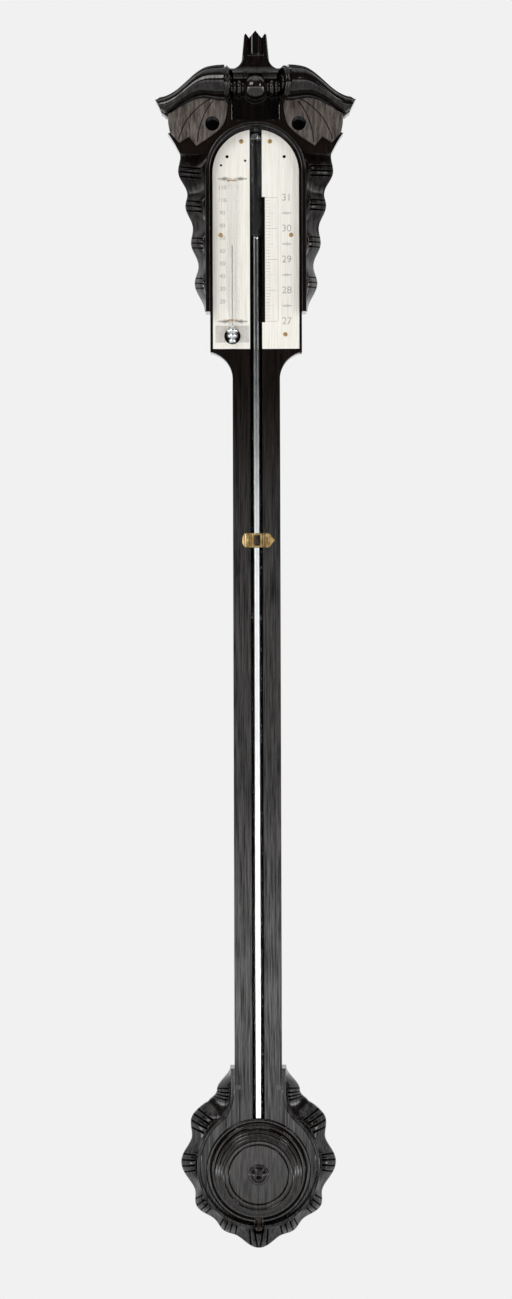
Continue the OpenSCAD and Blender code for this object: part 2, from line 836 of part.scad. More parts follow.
module thermometer_stem() {
    color(glass, 0.5) translate([-stem_x, -stem_depth, 0]) rotate_extrude() difference() {
        intersection() {
            translate([0, bulb_bottom]) square([bulb_d, stem_top - bulb_bottom]);
            union() {
                translate([0, bulb_bottom]) square([stem_d / 2, stem_len + bulb_len - stem_d / 2]);
                translate([0, stem_top - stem_d / 2]) circle(stem_d / 2);
                for (r = bulb_ribs) translate([r[1] - bulb_rib, bulb_top - r[0]]) circle(bulb_rib);
            }
        }
        translate([0, bulb_bottom + bulb_wall]) square([bulb_cavity_r, bulb_len - 2 * bulb_wall]);
        translate([0, bulb_bottom + bulb_wall]) square([stem_bore_r, bulb_len + stem_len - 4 * bulb_wall]);
    }
}

module thermometer_mercury() {
    color(mercury) translate([-stem_x, -stem_depth, 0]) rotate_extrude() {
        translate([0, bulb_bottom + bulb_wall + fit])
            square([bulb_cavity_r - fit, bulb_len - 2 * bulb_wall - 2 * fit]);
        translate([0, bulb_bottom + bulb_wall + fit]) square([stem_bore_r - fit, bulb_len + thread_len]);
    }
}

// Wire staples over the stem, with their legs through the plate
module stem_staples() {
    color(brass) for (z = staple_levels) translate([-stem_x, 0, z]) {
        intersection() {
            translate([0, -stem_depth, 0]) rotate_extrude()
                translate([staple_half, 0]) circle(d = staple_wire);
            translate([-2 * staple_half, -2 * stem_depth, -staple_wire])
                cube([4 * staple_half, stem_depth, 2 * staple_wire]);
        }
        for (s = [-1, 1]) slab(face + glue, stem_depth)
            translate([s * staple_half, 0]) circle(d = staple_wire);
    }
}

// The barometer tube, sealed at the top, and the mercury in it
module tube_shape(r, bottom, top) {
    rotate_extrude() {
        translate([0, bottom]) square([r, top - r - bottom]);
        intersection() {
            translate([0, top - r]) circle(r);
            translate([0, top - r]) square([r, r]);
        }
    }
}

module glass_tube() {
    color(glass, 0.5) translate([0, -tube_depth, 0]) difference() {
        tube_shape(tube_d / 2, tube_foot, tube_top);
        tube_shape(tube_bore / 2, tube_foot - deep, tube_top - (tube_d - tube_bore) / 2);
    }
}

module mercury_column() {
    color(mercury) translate([0, -tube_depth, 0])
        tube_shape(tube_bore / 2 - fit, tube_foot, pool_level + mercury_head);
}

// Clip over the tube: a half-round middle with ribs, a blunt left ear and a pointed right ear
module tube_clip() {
    rib_w = 1;
    rib_t = 0.6;
    ear_end = groove_r + clip_ear;
    point = 3;
    color(brass) difference() {
        union() {
            translate([0, -tube_depth, clip_z - clip_h / 2]) intersection() {
                cylinder(r = clip_outer_r, h = clip_h);
                translate([-clip_outer_r, -clip_outer_r, 0])
                    cube([2 * clip_outer_r, clip_outer_r - face + tube_depth, clip_h]);
            }
            slab(face, face + clip_t) polygon([
                [-ear_end, clip_z - clip_h / 2], [ear_end, clip_z - clip_h / 2], [ear_end + point, clip_z],
                [ear_end, clip_z + clip_h / 2], [-ear_end, clip_z + clip_h / 2]
            ]);
            for (s = [-1, 1], x = [groove_r, groove_r + clip_ear * 0.85]) slab(face, face + clip_t + rib_t)
                translate([s * x - rib_w / 2, clip_z - clip_h / 2]) square([rib_w, clip_h]);
        }
        translate([0, -tube_depth, clip_z - clip_h]) cylinder(r = clip_inner_r, h = 2 * clip_h);
        for (s = [-1, 1]) slab(0, 2 * face) translate([s * clip_pin_x, clip_z])
            circle(d = small_shank + 2 * fit);
    }
}

module clip_pins() {
    head_d = 2.8;
    color(brass) both_sides()
        screw(clip_pin_x, clip_z, face + clip_t, head_d, small_shank, small_shank_len);
}

// The cistern
module tube_hole(bottom, top) {
    translate([0, -tube_depth, bottom]) cylinder(r = tube_d / 2 + fit, h = top - bottom);
}

bush_h = 6;
bush_wall = 3;

module tube_bush() {
    color(cork) difference() {
        translate([0, -tube_depth, cap_top]) rotate_extrude() polygon([
            [0, 0], [tube_d / 2 + bush_wall, 0], [tube_d / 2 + bush_wall / 2, bush_h], [0, bush_h]
        ]);
        tube_hole(cap_top - deep, cap_top + bush_h + deep);
    }
}

module cistern_cap() {
    lip = 2.5;
    color(boxwood) difference() {
        translate([0, -cistern_depth, 0]) {
            translate([0, 0, body_top]) cylinder(d = cistern_d, h = cap_t);
            translate([0, 0, body_top - lip]) cylinder(r = cistern_bore / 2 - glue, h = lip);
        }
        tube_hole(body_top - lip - deep, cap_top + deep);
    }
}

module cistern_body() {
    color(boxwood) translate([0, -cistern_depth, body_bottom]) difference() {
        cylinder(d = cistern_d, h = cistern_len);
        translate([0, 0, -deep]) cylinder(d = cistern_bore, h = cistern_len + 2 * deep);
    }
}

module mercury_pool() {
    color(mercury) difference() {
        translate([0, -cistern_depth, body_bottom + fit])
            cylinder(r = cistern_bore / 2 - fit, h = pool_level - body_bottom - fit);
        tube_hole(tube_foot - fit, pool_level + deep);
    }
}

module cistern_leather() {
    margin = 0.6;
    color(calfskin) translate([0, -cistern_depth, ring_top])
        cylinder(r = cistern_d / 2 - margin, h = leather_t);
}

module leather_ring() {
    lip = 0.7;
    color(boxwood) translate([0, -cistern_depth, ring_bottom]) difference() {
        cylinder(d = cistern_d, h = ring_h);
        translate([0, 0, -deep]) cylinder(r = cistern_bore / 2 - lip, h = ring_h + 2 * deep);
    }
}

// Brass band round the cistern, with its ears on the floor of the recess
module cistern_strap() {
    inner_r = strap_r - strap_t;
    ear_x = strap_r + strap_ear;
    color(brass) difference() {
        translate([0, 0, strap_z - strap_h / 2]) linear_extrude(strap_h) difference() {
            union() {
                translate([0, -cistern_depth]) circle(strap_r);
                translate([-strap_r, -cistern_depth]) square([2 * strap_r, cistern_depth - recess_floor]);
                translate([-ear_x, -recess_floor - strap_t]) square([2 * ear_x, strap_t]);
            }
            translate([0, -cistern_depth]) circle(inner_r);
            translate([-inner_r, -cistern_depth]) square([2 * inner_r, cistern_depth]);
        }
        for (s = [-1, 1]) slab(0, 2 * face) translate([s * strap_screw_x, strap_z])
            circle(d = small_shank + 2 * fit);
    }
}

module strap_screws() {
    color(brass) both_sides()
        screw(strap_screw_x, strap_z, recess_floor + strap_t, small_screw_d, small_shank, small_shank_len);
}

// The portable screw with its pad and bridge
pivot_d = 4;
pivot_len = 1.4;

module pressure_pad() {
    edge = 0.8;
    color(brass) translate([0, -cistern_depth, pad_bottom]) difference() {
        rotate_extrude() polygon([
            [0, 0], [pad_d / 2, 0], [pad_d / 2, pad_t - edge], [pad_d / 2 - edge, pad_t], [0, pad_t]
        ]);
        translate([0, 0, -deep]) cylinder(d = pivot_d + 2 * fit, h = deep + pivot_len + fit);
    }
}

module portable_screw() {
    r = screw_d / 2;
    neck_z = 6.2;
    neck_w = 0.9;
    slot_w = 0.8;
    slot_depth = 1.2;
    color(brass) translate([0, -cistern_depth, pin_tip]) difference() {
        rotate_extrude() difference() {
            union() {
                translate([0, r / 2]) square([r, screw_len - r / 2 - fit]);
                square([r / 2, screw_len]);
                translate([r / 2, r / 2]) circle(r / 2);
                square([pivot_d / 2, screw_len + pivot_len]);
            }
            translate([r, neck_z]) circle(neck_w / 2);
        }
        translate([-r - deep, -slot_w / 2, -deep]) cube([2 * (r + deep), slot_w, slot_depth + deep]);
    }
}

module screw_bridge() {
    color(brass) difference() {
        union() {
            translate([-bridge_foot_w / 2, -recess_floor - bridge_foot_t, bridge_top - bridge_foot_h])
                cube([bridge_foot_w, bridge_foot_t, bridge_foot_h]);
            translate([-bridge_w / 2, -cistern_depth, bridge_bottom])
                cube([bridge_w, cistern_depth - recess_floor, bridge_h]);
            translate([0, -cistern_depth, bridge_bottom]) cylinder(d = bridge_w, h = bridge_h);
        }
        translate([0, -cistern_depth, bridge_bottom - deep])
            cylinder(r = screw_d / 2 + fit, h = bridge_h + 2 * deep);
        for (s = [-1, 1]) slab(0, 2 * face) translate([s * bridge_screw_x, bridge_screw_z])
            circle(d = small_shank + 2 * fit);
    }
}

module bridge_screws() {
    foot_front = recess_floor + bridge_foot_t;
    color(brass) both_sides()
        screw(bridge_screw_x, bridge_screw_z, foot_front, small_screw_d, small_shank, small_shank_len);
}

// The turned cover
drum_r = drum_d / 2;
hollow_r = drum_r - cover_wall;
spigot_r = recess_r - spigot_clear;
spigot_wall = 2.4;
sleeve_len = 6;
step_w = 3.5;
step_t = 1.4;
outer_bead = 1.6;
inner_bead = 1.5;
bead_gap = 3.8;        // from the middle of the outer bead to the middle of the inner one
bead_drop = 4;         // depth of the outer bead below the panel
button_pin_r = 3;
button_pin_len = 2.4;

module cover_profile() {
    outer_x = drum_r - outer_bead;
    inner_x = outer_x - bead_gap;
    difference() {
        union() {
            square([drum_r + step_w + step_t, flange_t]);
            square([flange_d / 2 - flange_t / 2, flange_t]);
            translate([flange_d / 2 - flange_t / 2, flange_t / 2]) circle(flange_t / 2);
            square([drum_r + step_w - step_t, flange_t + step_t]);
            translate([drum_r + step_w - step_t, flange_t]) circle(step_t);
            square([drum_r, cover_h - bead_drop - outer_bead]);
            translate([outer_x, cover_h - bead_drop - outer_bead]) circle(outer_bead);
            square([outer_x, cover_h - bead_drop - outer_bead / 2]);
            difference() {
                square([outer_x - outer_bead / 2, cover_h - inner_bead]);
                translate([outer_x, cover_h - inner_bead]) circle(bead_gap - inner_bead);
            }
            square([inner_x - inner_bead, cover_h]);
            square([inner_x, cover_h - inner_bead]);
            translate([inner_x - inner_bead / 2, cover_h - inner_bead / 2]) circle(inner_bead);
        }
        translate([0, -deep]) square([hollow_r, cover_h - cover_wall + deep]);
    }
    translate([spigot_r - spigot_wall, -spigot_len]) square([spigot_wall, spigot_len + sleeve_len]);
}

module cistern_cover() {
    slot_r = screw_d / 2 + loose + fit;
    tube_slot = groove_r + loose;
    reach = flange_d / 2 + deep;
    color(turned_wood) difference() {
        turned_out(0, cover_z, face) cover_profile();
        // Slot that lets the cover pass the portable screw
        translate([-slot_r, -cistern_depth, cover_z - reach])
            cube([2 * slot_r, cistern_depth, reach - hollow_r / 2]);
        translate([0, -cistern_depth, cover_z - reach]) cylinder(r = slot_r, h = reach - hollow_r / 2);
        // Slot in the spigot for the tube
        translate([-tube_slot, -face, cover_z + hollow_r / 2])
            cube([2 * tube_slot, spigot_len + deep, hollow_r]);
        turned_out(0, cover_z, 0) square([button_pin_r + fit, 2 * (face + cover_h)]);
    }
}

// Turned button with a ring and a dimple
module cover_button() {
    r = button_d / 2;
    base_h = 1.4;
    neck = 1.3;
    top_h = 5.8;
    dimple_r = 2.2;
    color(turned_wood) turned_out(0, cover_z, face + cover_h) difference() {
        union() {
            translate([0, -button_pin_len]) square([button_pin_r, button_pin_len + deep]);
            square([r - base_h / 2, base_h]);
            translate([r - base_h / 2, base_h / 2]) circle(base_h / 2);
            square([r - 2 * neck, top_h - neck]);
            square([r - 3 * neck, top_h]);
            translate([r - 3 * neck, top_h - neck]) circle(neck);
        }
        translate([0, top_h + dimple_r / 2]) circle(dimple_r);
    }
}

head_board();
backboard();
hood_arch();
side_carving_left();
side_carving_right();
swan_neck_left();
swan_neck_right();
scroll_rosettes();
crest_spindle();
crest_finial();
base_collar();
shaft_plugs();
weather_plate();
thermometer_plate();
plate_screws();
thermometer_stem();
thermometer_mercury();
stem_staples();
glass_tube();
mercury_column();
tube_clip();
clip_pins();
tube_bush();
cistern_cap();
cistern_body();
mercury_pool();
cistern_leather();
leather_ring();
cistern_strap();
strap_screws();
pressure_pad();
portable_screw();
screw_bridge();
bridge_screws();
cistern_cover();
cover_button();
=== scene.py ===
"""Looks of a stick barometer: carved hood and foot, register plates, glass, mercury and its studio."""
import math

import bmesh
import bpy
import numpy as np
from bpy.props import FloatProperty, PointerProperty, StringProperty
from mathutils import Matrix, Vector


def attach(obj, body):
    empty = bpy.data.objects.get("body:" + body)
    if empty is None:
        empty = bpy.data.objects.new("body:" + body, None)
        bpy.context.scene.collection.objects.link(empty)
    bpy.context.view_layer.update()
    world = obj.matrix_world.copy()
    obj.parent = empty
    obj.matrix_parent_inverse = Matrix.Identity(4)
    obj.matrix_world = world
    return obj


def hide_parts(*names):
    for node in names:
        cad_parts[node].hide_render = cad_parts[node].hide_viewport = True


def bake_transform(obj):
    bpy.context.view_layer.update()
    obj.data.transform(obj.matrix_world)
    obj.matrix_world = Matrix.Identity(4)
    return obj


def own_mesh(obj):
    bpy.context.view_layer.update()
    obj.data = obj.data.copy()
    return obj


bl_info = {
    "name": "Stick barometer",
    "version": (1, 0, 0),
    "blender": (4, 5, 0),
    "location": "View3D > Sidebar > Barometer",
    "description": "Builds the carved, turned, glass and engraved pieces of a stick barometer",
    "category": "Add Mesh",
}

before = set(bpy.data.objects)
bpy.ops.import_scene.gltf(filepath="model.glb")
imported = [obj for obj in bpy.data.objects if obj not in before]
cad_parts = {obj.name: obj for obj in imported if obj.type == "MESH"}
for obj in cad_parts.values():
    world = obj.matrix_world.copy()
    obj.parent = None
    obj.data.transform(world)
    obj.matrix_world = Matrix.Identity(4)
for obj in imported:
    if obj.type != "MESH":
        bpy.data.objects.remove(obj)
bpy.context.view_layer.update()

MM = 0.001
# Points this close become one: millimetres in the pieces made here, metres in the CAD nodes.
WELD = 1e-4
NODE_WELD = 1e-6
# Edges sharper than this many degrees stay crisp, and small round pieces have this many sides.
CRISP = 40.0
SMALL_ROUND = 64

# Places of the case in millimetres: depth is measured out of the wall, towards the viewer.
ARCH_Z = -15.7
HEAD_R = 37.7
RIM_R = 41.4
LEG_END = -130.5
RIM_FRONT = 34.0
BOARD_FRONT = 27.0
HOOD_BACK = 3.0
FACE = 24.0
PLATE_FRONT = 25.6
FOOT_Z = -832.5
FOOT_R = 47.5
HOLLOW_X = 53.5
HOLLOW_Z = -771.02
HOLLOW_R = 34.0
HOLLOW_TURN = math.radians(48.97)
SHAFT_HALF = 19.5
COVER_Z = -836.6
TUBE_DEPTH = 19.5
CISTERN_DEPTH = 27.4
ARM_X = 25.0
ARM_LEN = 57.6
ARM_Z = 57.4
STEM_X = -19.5
STEM_DEPTH = 28.65
LEATHER_LOW = -853.2
FOLD_LOW = LEATHER_LOW - 2.0
POOL_SPLIT = -842.6
POOL_LOW = -851.95

# Crests and hollows of the carved edges: share of the way along, and reach in millimetres.
WING_REACH = (
    (0, 20.85), (0.1, 22.66), (0.25, 15.18), (0.32, 16.77), (0.47, 10.65), (0.56, 12.24), (0.71, 6.12),
    (0.82, 9.29), (1, 1.13),
)
COLLAR_REACH = (
    (0, 21.8), (0.095, 14.1), (0.133, 14.6), (0.2, 10.7), (0.28, 14.4), (0.35, 9.1), (0.468, 16.4),
    (0.56, 11.8), (0.645, 20.4), (0.755, 18.6), (0.88, 14.8), (1, 3.6),
)
ARM_FALL = ((0, 0), (0.24, 0.4), (0.95, -18.8), (1, -18.4))
ARM_HEIGHT = ((0, 29), (0.75, 15.9), (0.92, 15.7), (1, 11))


class BarometerSizes(bpy.types.PropertyGroup):
    """Sizes of the carved and engraved detail: millimetres, but metres for the worn edge."""

    cut_depth: FloatProperty(
        name="Cut depth", description="Depth of the carver's cut lines, in millimetres", default=1.4, min=0.0
    )
    cut_width: FloatProperty(
        name="Cut width", description="Width of the carver's cut lines, in millimetres", default=1.8, min=0.1
    )
    wing_cut_pitch: FloatProperty(
        name="Wing cut pitch", description="Between cuts on a wing's lobe, in millimetres", default=4.0
    )
    collar_cut_pitch: FloatProperty(
        name="Collar cut pitch", description="Between cuts on a collar's lobe, in millimetres", default=3.8
    )
    swell: FloatProperty(
        name="Swell", description="Rise of a lobe and sink of a hollow, in millimetres", default=2.0
    )
    vein_depth: FloatProperty(
        name="Vein depth", description="Depth of the leaves' veins, in millimetres", default=0.9
    )
    edge: FloatProperty(
        name="Worn edge", description="Rounding of the case's edges", default=0.5 * MM,
        unit="LENGTH", precision=5,
    )
    line: FloatProperty(
        name="Engraved line", description="Width of the engraved lines, in millimetres", default=0.22
    )


class BarometerColours(bpy.types.PropertyGroup):
    """Colours of the materials, as sRGB hex."""

    wood_dark: StringProperty(
        name="Wood, dark grain", description="Dark lines of the case", default="080605"
    )
    wood_light: StringProperty(
        name="Wood, light grain", description="Light lines of the case", default="1e1511"
    )
    carved_dark: StringProperty(
        name="Carving, hollows", description="Polish left in the hollows", default="060404"
    )
    carved_light: StringProperty(name="Carving, worn", description="Rubbed high places", default="1a1310")
    # The leaves' tones are much paler than the carving's: painted light, standing in for the light the leaf
    # faces catch.
    leaf_dark: StringProperty(
        name="Leaf, dark grain", description="Dark lines of the leaves", default="3a322d"
    )
    leaf_light: StringProperty(
        name="Leaf, light grain", description="Light lines of the leaves", default="60564e"
    )
    bone: StringProperty(name="Bone", description="Register plates", default="f9f6ef")
    ink: StringProperty(
        name="Engraving", description="Worn filling of the engraved lines", default="a09d97"
    )
    brass: StringProperty(name="Brass", description="Lacquered brass", default="cdb07a")
    boxwood: StringProperty(name="Boxwood", description="Cistern", default="b98c4f")
    wall: StringProperty(name="Wall", description="Backdrop as the camera sees it", default="f1f1f1")


# Mesh tools


def at(x, depth, z):
    """Point at a distance across, out of the wall and up."""
    return Vector((x, -depth, z))


def wave(stops, share):
    """Value of a carved edge: cosine waves between its crests and hollows."""
    for (a, low), (b, high) in zip(stops, stops[1:]):
        if share <= b:
            return low + (high - low) * (1 - math.cos(math.pi * (share - a) / (b - a))) / 2
    return stops[-1][1]


def ease(share):
    """Smooth step from 0 to 1."""
    share = min(1.0, max(0.0, share))
    return share * share * (3 - 2 * share)


def arc(x, y, radius, start, end, steps=6, rise=None):
    """Points of an arc in a profile, angles in degrees; with a rise it is part of an ellipse."""
    turns = [math.radians(start + (end - start) * i / steps) for i in range(steps + 1)]
    return [(x + radius * math.cos(a), y + (rise or radius) * math.sin(a)) for a in turns]


def cut(distance, width, depth):
    """Depth of a V-shaped cut at a distance from its line."""
    return depth * max(0.0, 1 - abs(distance) / (width / 2))


def cuts_at(place, centres, pitch, count, sizes):
    """Depth of the rows of cuts round each of the centres, at a place along a carved edge."""
    spread = (count - 1) / 2
    nearest = min(abs(place - c - pitch * (i - spread)) for c in centres for i in range(count))
    return cut(nearest, sizes.cut_width, sizes.cut_depth)


def rounded(share):
    """Fall of a quarter-round edge, 0 where it begins and 1 at its end."""
    return 1 - math.sqrt(1 - min(1.0, max(0.0, share)) ** 2)


def only(made, kind):
    """The vertices, edges or faces among what an operation made."""
    return [m for m in made if isinstance(m, kind)]


def draped(bm, across, along, place):
    """Grid of across by along cells, each corner put where place(u, v) says."""
    for v in bmesh.ops.create_grid(bm, x_segments=across, y_segments=along, size=0.5)["verts"]:
        v.co = place(v.co.x + 0.5, v.co.y + 0.5)


def turned(bm, profile, origin, axis, side, steps=96, start=0.0, end=360.0):
    """Spins a profile of (radius, height) about an axis, all round or from start to end in degrees."""
    first = Matrix.Rotation(math.radians(start), 3, axis) @ side
    verts = [bm.verts.new(origin + first * r + axis * h) for r, h in profile]
    edges = [bm.edges.new(pair) for pair in zip(verts, verts[1:])]
    whole = end - start >= 360
    bmesh.ops.spin(
        bm, geom=verts + edges, cent=origin, axis=axis, angle=math.radians(end - start), steps=steps,
        use_merge=whole,
    )
    return bm


def turned_out(bm, profile, x, z, depth, **more):
    """Spins a profile about an axis that points out of the wall; angle 0 is at the bottom."""
    return turned(bm, profile, at(x, depth, z), Vector((0, -1, 0)), Vector((0, 0, -1)), **more)


def turned_up(bm, profile, x, depth, steps=SMALL_ROUND):
    """Spins a profile of (radius, level) about an upright axis."""
    return turned(bm, profile, at(x, depth, 0), Vector((0, 0, 1)), Vector((1, 0, 0)), steps)


def close_ends(bm):
    """Fills the open ends of a tube, and gives the faces that close them."""
    bmesh.ops.remove_doubles(bm, verts=bm.verts, dist=WELD)
    return bmesh.ops.holes_fill(bm, edges=[e for e in bm.edges if e.is_boundary], sides=0)["faces"]


def flat_shape(bm, points, back, front, edge=0.0):
    """Outline in X and Z stood between two depths, with its front edges rounded."""
    face = bm.faces.new([bm.verts.new(at(x, back, z)) for x, z in points])
    made = bmesh.ops.extrude_face_region(bm, geom=[face])["geom"]
    bmesh.ops.translate(bm, verts=only(made, bmesh.types.BMVert), vec=(0, back - front, 0))
    if edge:
        rim = only(made, bmesh.types.BMEdge)
        bmesh.ops.bevel(bm, geom=rim, offset=edge, segments=3, profile=0.5, affect="EDGES", material=-1)


def bar(bm, a, b, width, depth):
    """Thin flat line from a to b, each (x, z)."""
    start, run = Vector(a), Vector(b) - Vector(a)
    aside = Vector((-run.y, run.x)).normalized() * width

    def place(u, v):
        flat = start + run * v + aside * (u - 0.5)
        return at(flat.x, depth, flat.y)

    draped(bm, 1, 1, place)


def screw_head(bm, x, z, depth, radius, turn):
    """Domed head with a driver slot."""
    head = bmesh.new()
    rise, half, middle = radius * 0.5, radius * 0.16, at(x, depth, z)
    turned_out(head, [(radius, -0.4)] + arc(0, 0, radius, 0, 90, 8, rise), x, z, depth, steps=40)
    bmesh.ops.remove_doubles(head, verts=head.verts, dist=WELD)
    across = Vector((math.cos(turn), 0, math.sin(turn)))
    for side in (-half, half):
        every = head.verts[:] + head.edges[:] + head.faces[:]
        bmesh.ops.bisect_plane(head, geom=every, plane_co=middle + across * side, plane_no=across)
    spots = [(f, f.calc_center_median() - middle) for f in head.faces]
    slot = [f for f, spot in spots if abs(spot.dot(across)) < half and spot.y < 0]
    made = bmesh.ops.extrude_face_region(head, geom=slot)["geom"]
    bmesh.ops.delete(head, geom=slot, context="FACES")
    for v in only(made, bmesh.types.BMVert):
        v.co.y = -depth - rise * 0.25
    add_mesh(bm, head)


def add_mesh(bm, other, matrix=None):
    """Adds another bmesh, moved by a matrix, and frees it."""
    mesh = bpy.data.meshes.new("joined")
    other.to_mesh(mesh)
    other.free()
    if matrix:
        mesh.transform(matrix)
    bm.from_mesh(mesh)
    bpy.data.meshes.remove(mesh)


DIGIT_SHARE = 0.69


def numeral(bm, text, x, z, height, depth):
    """Engraved number, as a flat mesh."""
    curve = bpy.data.curves.new("numeral", "FONT")
    curve.body = text
    curve.align_x = curve.align_y = "CENTER"
    curve.size = height / DIGIT_SHARE
    holder = bpy.data.objects.new("numeral", curve)
    mesh = bpy.data.meshes.new_from_object(holder)
    mesh.transform(Matrix.Translation(at(x, depth, z)) @ Matrix.Rotation(math.radians(90), 4, "X"))
    bm.from_mesh(mesh)
    bpy.data.meshes.remove(mesh)
    bpy.data.objects.remove(holder)
    bpy.data.curves.remove(curve)


def piece(bm, name, body, materials, nodes=(), sharp=CRISP, mirror=False):
    """Makes a piece of a bmesh in millimetres, for CAD nodes; it rides on a body if one is named."""
    bmesh.ops.remove_doubles(bm, verts=bm.verts, dist=WELD)
    bmesh.ops.scale(bm, vec=(-MM if mirror else MM, MM, MM), verts=bm.verts)
    bmesh.ops.recalc_face_normals(bm, faces=bm.faces)
    mesh = bpy.data.meshes.new(name)
    bm.to_mesh(mesh)
    bm.free()
    for m in materials:
        mesh.materials.append(m)
    mesh.shade_smooth()
    mesh.set_sharp_from_angle(angle=math.radians(sharp))
    made = bpy.data.objects.new(name, mesh)
    bpy.context.scene.collection.objects.link(made)
    if body:
        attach(made, body)
    if nodes:
        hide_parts(*nodes)
    return made


def dress(node, material, edge=0.0):
    """Gives a CAD node its material and, with an edge, worn corners."""
    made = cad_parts[node]
    made.data.materials.clear()
    made.data.materials.append(material)
    if edge:
        weld = made.modifiers.new("Weld", "WELD")
        weld.merge_threshold = NODE_WELD
        bevel = made.modifiers.new("Worn edges", "BEVEL")
        bevel.width = edge
        bevel.segments = 2
        bevel.limit_method = "ANGLE"
        bevel.angle_limit = math.radians(CRISP)
        bevel.harden_normals = True


# Materials


def colour(text):
    """Linear colour from sRGB hex."""
    parts = [int(text[i:i + 2], 16) / 255 for i in (0, 2, 4)]
    return [c / 12.92 if c <= 0.04045 else ((c + 0.055) / 1.055) ** 2.4 for c in parts] + [1.0]


def set_inputs(tree, node, inputs):
    """Sets or links a node's inputs."""
    for key, value in inputs.items():
        if isinstance(value, bpy.types.NodeSocket):
            tree.links.new(value, node.inputs[key])
        else:
            node.inputs[key].default_value = value


def add(tree, kind, inputs=None, **settings):
    """Adds a node with its settings, and sets or links its inputs."""
    made = tree.nodes.new(kind)
    for key, value in settings.items():
        setattr(made, key, value)
    set_inputs(tree, made, inputs or {})
    return made


def ramp(tree, factor, stops):
    """Colour ramp from (place, colour) stops."""
    made = add(tree, "ShaderNodeValToRGB", {"Fac": factor})
    band = made.color_ramp
    for (place, value), element in zip(stops, (band.elements[0], band.elements[1])):
        element.position, element.color = place, value
    for place, value in stops[2:]:
        band.elements.new(place).color = value
    return made.outputs["Color"]


def grey(value):
    """Neutral ramp colour."""
    return [value, value, value, 1.0]


def greys(tree, factor, *stops):
    """Ramp of neutral tones from (place, value) stops."""
    return ramp(tree, factor, [(place, grey(value)) for place, value in stops])


def noise(tree, scale, detail, rough=0.55):
    """Noise in object space, with its scale per metre along each axis."""
    where = add(tree, "ShaderNodeTexCoord").outputs["Object"]
    moved = add(tree, "ShaderNodeMapping", {"Vector": where, "Scale": scale}).outputs["Vector"]
    inputs = {"Vector": moved, "Scale": 1.0, "Detail": detail, "Roughness": rough}
    return add(tree, "ShaderNodeTexNoise", inputs).outputs["Fac"]


def blended(tree, factor, a, b, mode="MIX"):
    """Mix of two colours."""
    inputs = {"Factor": factor, 6: a, 7: b}
    return add(tree, "ShaderNodeMix", inputs, data_type="RGBA", blend_type=mode).outputs[2]


def times(tree, a, b):
    """Product of two colours."""
    return blended(tree, 1.0, a, b, "MULTIPLY")


def bumped(tree, height, distance, strength):
    """Normal from a height, with its depth in metres."""
    made = add(tree, "ShaderNodeBump", {"Height": height, "Distance": distance, "Strength": strength})
    return made.outputs["Normal"]


def new_material(name):
    """Empty material with its shader, as (material, tree, shader)."""
    made = bpy.data.materials.new(name)
    made.use_nodes = True
    tree = made.node_tree
    return made, tree, next(n for n in tree.nodes if n.type == "BSDF_PRINCIPLED")


# Grain lines per metre along each axis, and the levels in millimetres of the wings' painted sheen, strong to
# dull.
CARVED_GRAIN = (380, 380, 30)
WING_SHEEN_LEVELS = (-115, -30)


def wood(name, dark, light, grain, rough, coat, worn=0.0, shine=0.5, sheen_levels=None):
    """Hard wood: long grain lines, open pores, clouds in the colour, polish that sinks into the grain.

    Worn wood is rubbed light on its high places. Its cuts are painted black and dull, and its hollows dull:
    painted shade. Given two levels, a painted sheen is strong at the lower and dull at the upper: painted
    light.
    """
    made, tree, shader = new_material(name)
    lines = noise(tree, grain, 6.0, 0.62)
    pores = noise(tree, [g * 3 for g in grain], 2.0)
    clouds = noise(tree, (16, 16, 6), 3.0)
    tone = ramp(tree, lines, [(0.36, colour(dark)), (0.68, colour(light))])
    tone = blended(tree, greys(tree, clouds, (0.35, 0.0), (0.7, 0.5)), tone, colour(dark))
    streaks = greys(tree, pores, (0.34, 0.35), (0.46, 1.0))
    polish = greys(tree, lines, (0.34, shine * 0.2), (0.64, shine * 1.7))
    set_inputs(tree, shader, {
        "Roughness": greys(tree, lines, (0.3, rough * 1.3), (0.7, rough * 0.85)),
        "Coat Weight": coat,
        "Coat Roughness": rough * 0.4,
        "Normal": bumped(tree, streaks, 0.006 * MM, 0.5),
    })
    # Painted light and shade: more sheen low down and less at the top, as the light falls down the wings.
    if sheen_levels:
        place = add(tree, "ShaderNodeTexCoord").outputs["Object"]
        level = add(tree, "ShaderNodeSeparateXYZ", {"Vector": place}).outputs["Z"]
        span = {"Value": level, "From Min": sheen_levels[0] * MM, "From Max": sheen_levels[1] * MM}
        level = add(tree, "ShaderNodeMapRange", span).outputs["Result"]
        polish = times(tree, polish, greys(tree, level, (0.0, 1.35), (0.5, 0.9), (1.0, 0.28)))
    if worn:
        high = add(tree, "ShaderNodeNewGeometry").outputs["Pointiness"]
        deep = add(tree, "ShaderNodeAttribute", attribute_name="cut").outputs["Fac"]
        tone = blended(tree, greys(tree, high, (0.5, 0.0), (0.56, worn)), tone, colour(light))
        # Painted shade: black colour and no sheen or coat in the cuts, and less sheen in the hollows.
        tone = blended(tree, greys(tree, deep, (0.1, 0.0), (0.4, 0.9)), tone, grey(0.0))
        sunk = greys(tree, deep, (0.1, 1.0), (0.4, 0.05))
        polish = times(tree, polish, greys(tree, high, (0.44, 0.1), (0.495, 1.0)))
        polish = times(tree, polish, sunk)
        set_inputs(tree, shader, {"Coat Weight": times(tree, sunk, grey(coat))})
    set_inputs(tree, shader, {"Base Color": times(tree, tone, streaks), "Specular IOR Level": polish})
    return made


def polished_wood(c):
    """The case: near black with long straight grain that shows where light rakes it."""
    return wood("Polished hardwood", c.wood_dark, c.wood_light, (980, 980, 34), 0.08, 0.05, shine=0.4)


